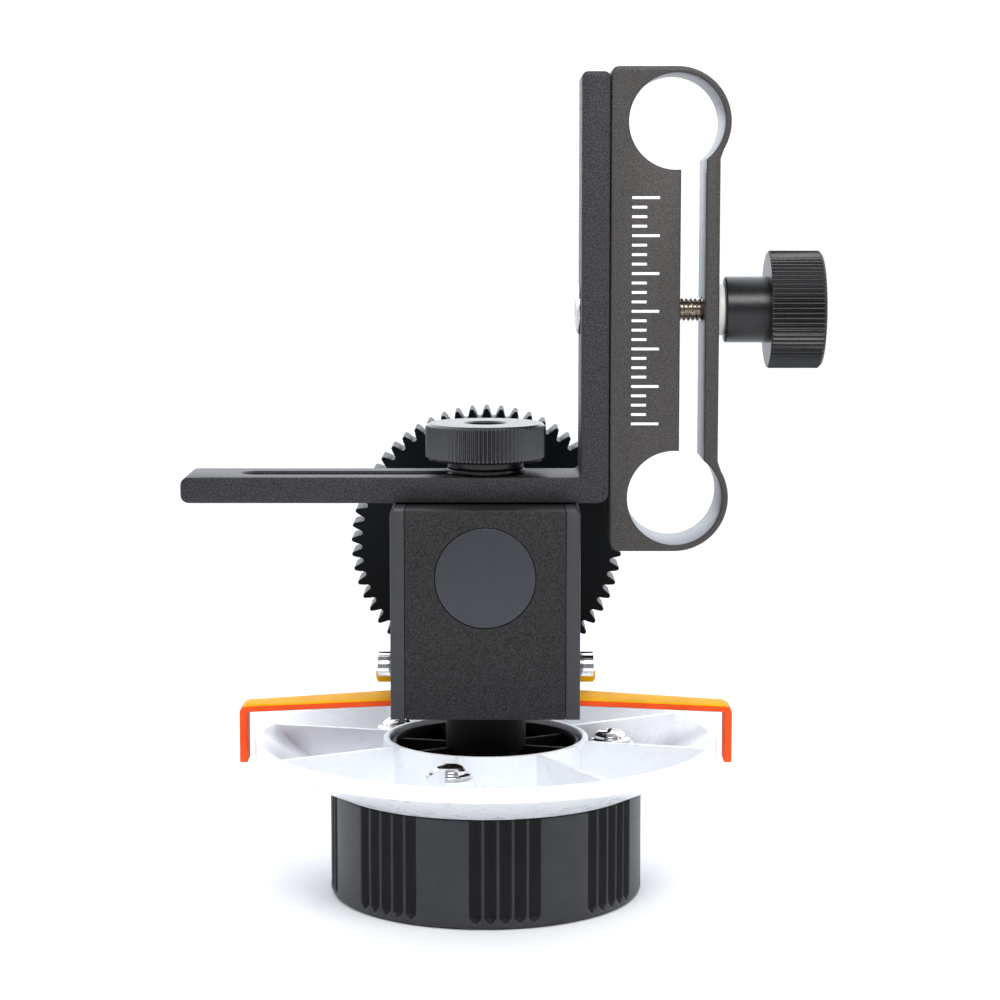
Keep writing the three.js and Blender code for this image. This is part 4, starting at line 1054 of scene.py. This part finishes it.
def build_drive():
    piece("focus_gear", gear_mesh(), "drive", "gear_plastic", GEAR, "drive_gear")
    piece("gear_shaft", output_shaft_mesh(), "drive", "steel", STEEL, "output_shaft")
    low, high = box_mm("gear_washer")
    washer = shifted(along_y(ring(1.8, 5.5, low.y, high.y, 0.15)), z=SHAFT_Z)
    piece("gear_retaining_washer", washer, "drive", "steel", STEEL, "gear_washer")
    low, high = box_mm("gear_screw")
    head_height = 2.0
    screw = joined(cap_head(2.8, head_height, 2.5), shank(M3, high.y - low.y - head_height))
    screw = shifted(along_y(screw), y=high.y - head_height, z=SHAFT_Z)
    piece("gear_retaining_screw", screw, "drive", "steel", STEEL, "gear_screw")


# ---------------------------------------------------------------- carried-over CAD nodes

CARRIED = {
    "steel": STEEL,
    "bearing_steel": BEARING,
    "brass": BRASS,
}


def dress_carried_nodes():
    """Give the inner pieces that keep their CAD shape their procedural material."""
    slots = {entry["node"]: entry["material_slot"] for entry in frame["record"]["subparts"]}
    for node, obj in frame["nodes"].items():
        look = CARRIED.get(slots.get(node))
        if look is None or not obj.data.materials:
            continue
        for index in range(len(obj.data.materials)):
            obj.data.materials[index] = look


# ---------------------------------------------------------------- stage, light and camera

FRONT_LIGHT = 0.3
BACK_LIGHT = 2.2
BACKDROP_LIGHT = 1.1
FLOOR_REACH = 12.0
CAMERA_PLACE = (0.00234, -0.40403, 0.1128)
CAMERA_TILT_DEG = 6.54
CAMERA_LENS = 89.44


def build_stage():
    """A pale floor under a soft sky, brighter behind the object. The camera sees the sky as plain white."""
    floor = bpy.data.meshes.new("floor")
    corners = [(*corner, 0) for corner in rectangle(-FLOOR_REACH, FLOOR_REACH, -FLOOR_REACH, FLOOR_REACH)]
    floor.from_pydata(corners, [], [(0, 1, 2, 3)])
    floor.materials.append(Shader("floor_paint", (0.93, 0.93, 0.93), 0.85, Specular_IOR_Level=0.1).material)
    obj = bpy.data.objects.new("floor", floor)
    bpy.context.collection.objects.link(obj)

    world = bpy.data.worlds.new("studio")
    bpy.context.scene.world = world
    world.use_nodes = True
    nodes = world.node_tree.nodes
    links = world.node_tree.links
    direction = nodes.new("ShaderNodeTexCoord").outputs["Generated"]
    parts = nodes.new("ShaderNodeSeparateXYZ")
    links.new(direction, parts.inputs["Vector"])
    strength = nodes.new("ShaderNodeMapRange")
    strength.interpolation_type = "SMOOTHSTEP"
    strength.inputs["From Min"].default_value = -0.35
    strength.inputs["From Max"].default_value = 0.5
    strength.inputs["To Min"].default_value = FRONT_LIGHT
    strength.inputs["To Max"].default_value = BACK_LIGHT
    links.new(parts.outputs["Y"], strength.inputs["Value"])
    light = nodes["Background"]
    light.inputs["Color"].default_value = (0.91, 0.95, 1.0, 1)
    links.new(strength.outputs["Result"], light.inputs["Strength"])
    backdrop = nodes.new("ShaderNodeBackground")
    backdrop.inputs["Color"].default_value = (1, 1, 1, 1)
    backdrop.inputs["Strength"].default_value = BACKDROP_LIGHT
    mix = nodes.new("ShaderNodeMixShader")
    links.new(nodes.new("ShaderNodeLightPath").outputs["Is Camera Ray"], mix.inputs["Fac"])
    links.new(light.outputs["Background"], mix.inputs[1])
    links.new(backdrop.outputs["Background"], mix.inputs[2])
    links.new(mix.outputs["Shader"], nodes["World Output"].inputs["Surface"])


def area_light(name, place, target, size, power):
    light = bpy.data.lights.new(name, "AREA")
    light.shape = "RECTANGLE"
    light.size, light.size_y = size
    light.energy = power
    obj = bpy.data.objects.new(name, light)
    obj.location = place
    obj.rotation_euler = (Vector(target) - Vector(place)).to_track_quat("-Z", "Y").to_euler()
    bpy.context.collection.objects.link(obj)


def build_lights():
    centre = (0.0, 0.0, 0.09)
    area_light("key_above", (0.05, -0.30, 0.34), centre, (0.25, 0.15), 1.2)
    area_light("edge_left", (-0.55, -0.20, 0.22), centre, (0.15, 0.4), 0.35)
    area_light("edge_right", (0.55, -0.20, 0.22), centre, (0.15, 0.4), 0.35)


def build_camera():
    camera = bpy.data.cameras.new("camera")
    camera.sensor_width = 36
    camera.lens = CAMERA_LENS
    camera.shift_y = -0.0096
    camera.clip_start = 0.01
    camera.clip_end = 50
    obj = bpy.data.objects.new("camera", camera)
    obj.location = CAMERA_PLACE
    obj.rotation_euler = (math.radians(90 - CAMERA_TILT_DEG), 0, 0)
    bpy.context.collection.objects.link(obj)
    bpy.context.scene.camera = obj


# ---------------------------------------------------------------- build

build_camera()
build_stage()
build_lights()
bpy.context.scene.view_settings.view_transform = "Standard"
build_bracket()
build_clamp_knob()
build_lock_knob()
build_gearbox()
build_strip()
build_wheel()
build_drive()
dress_carried_nodes()
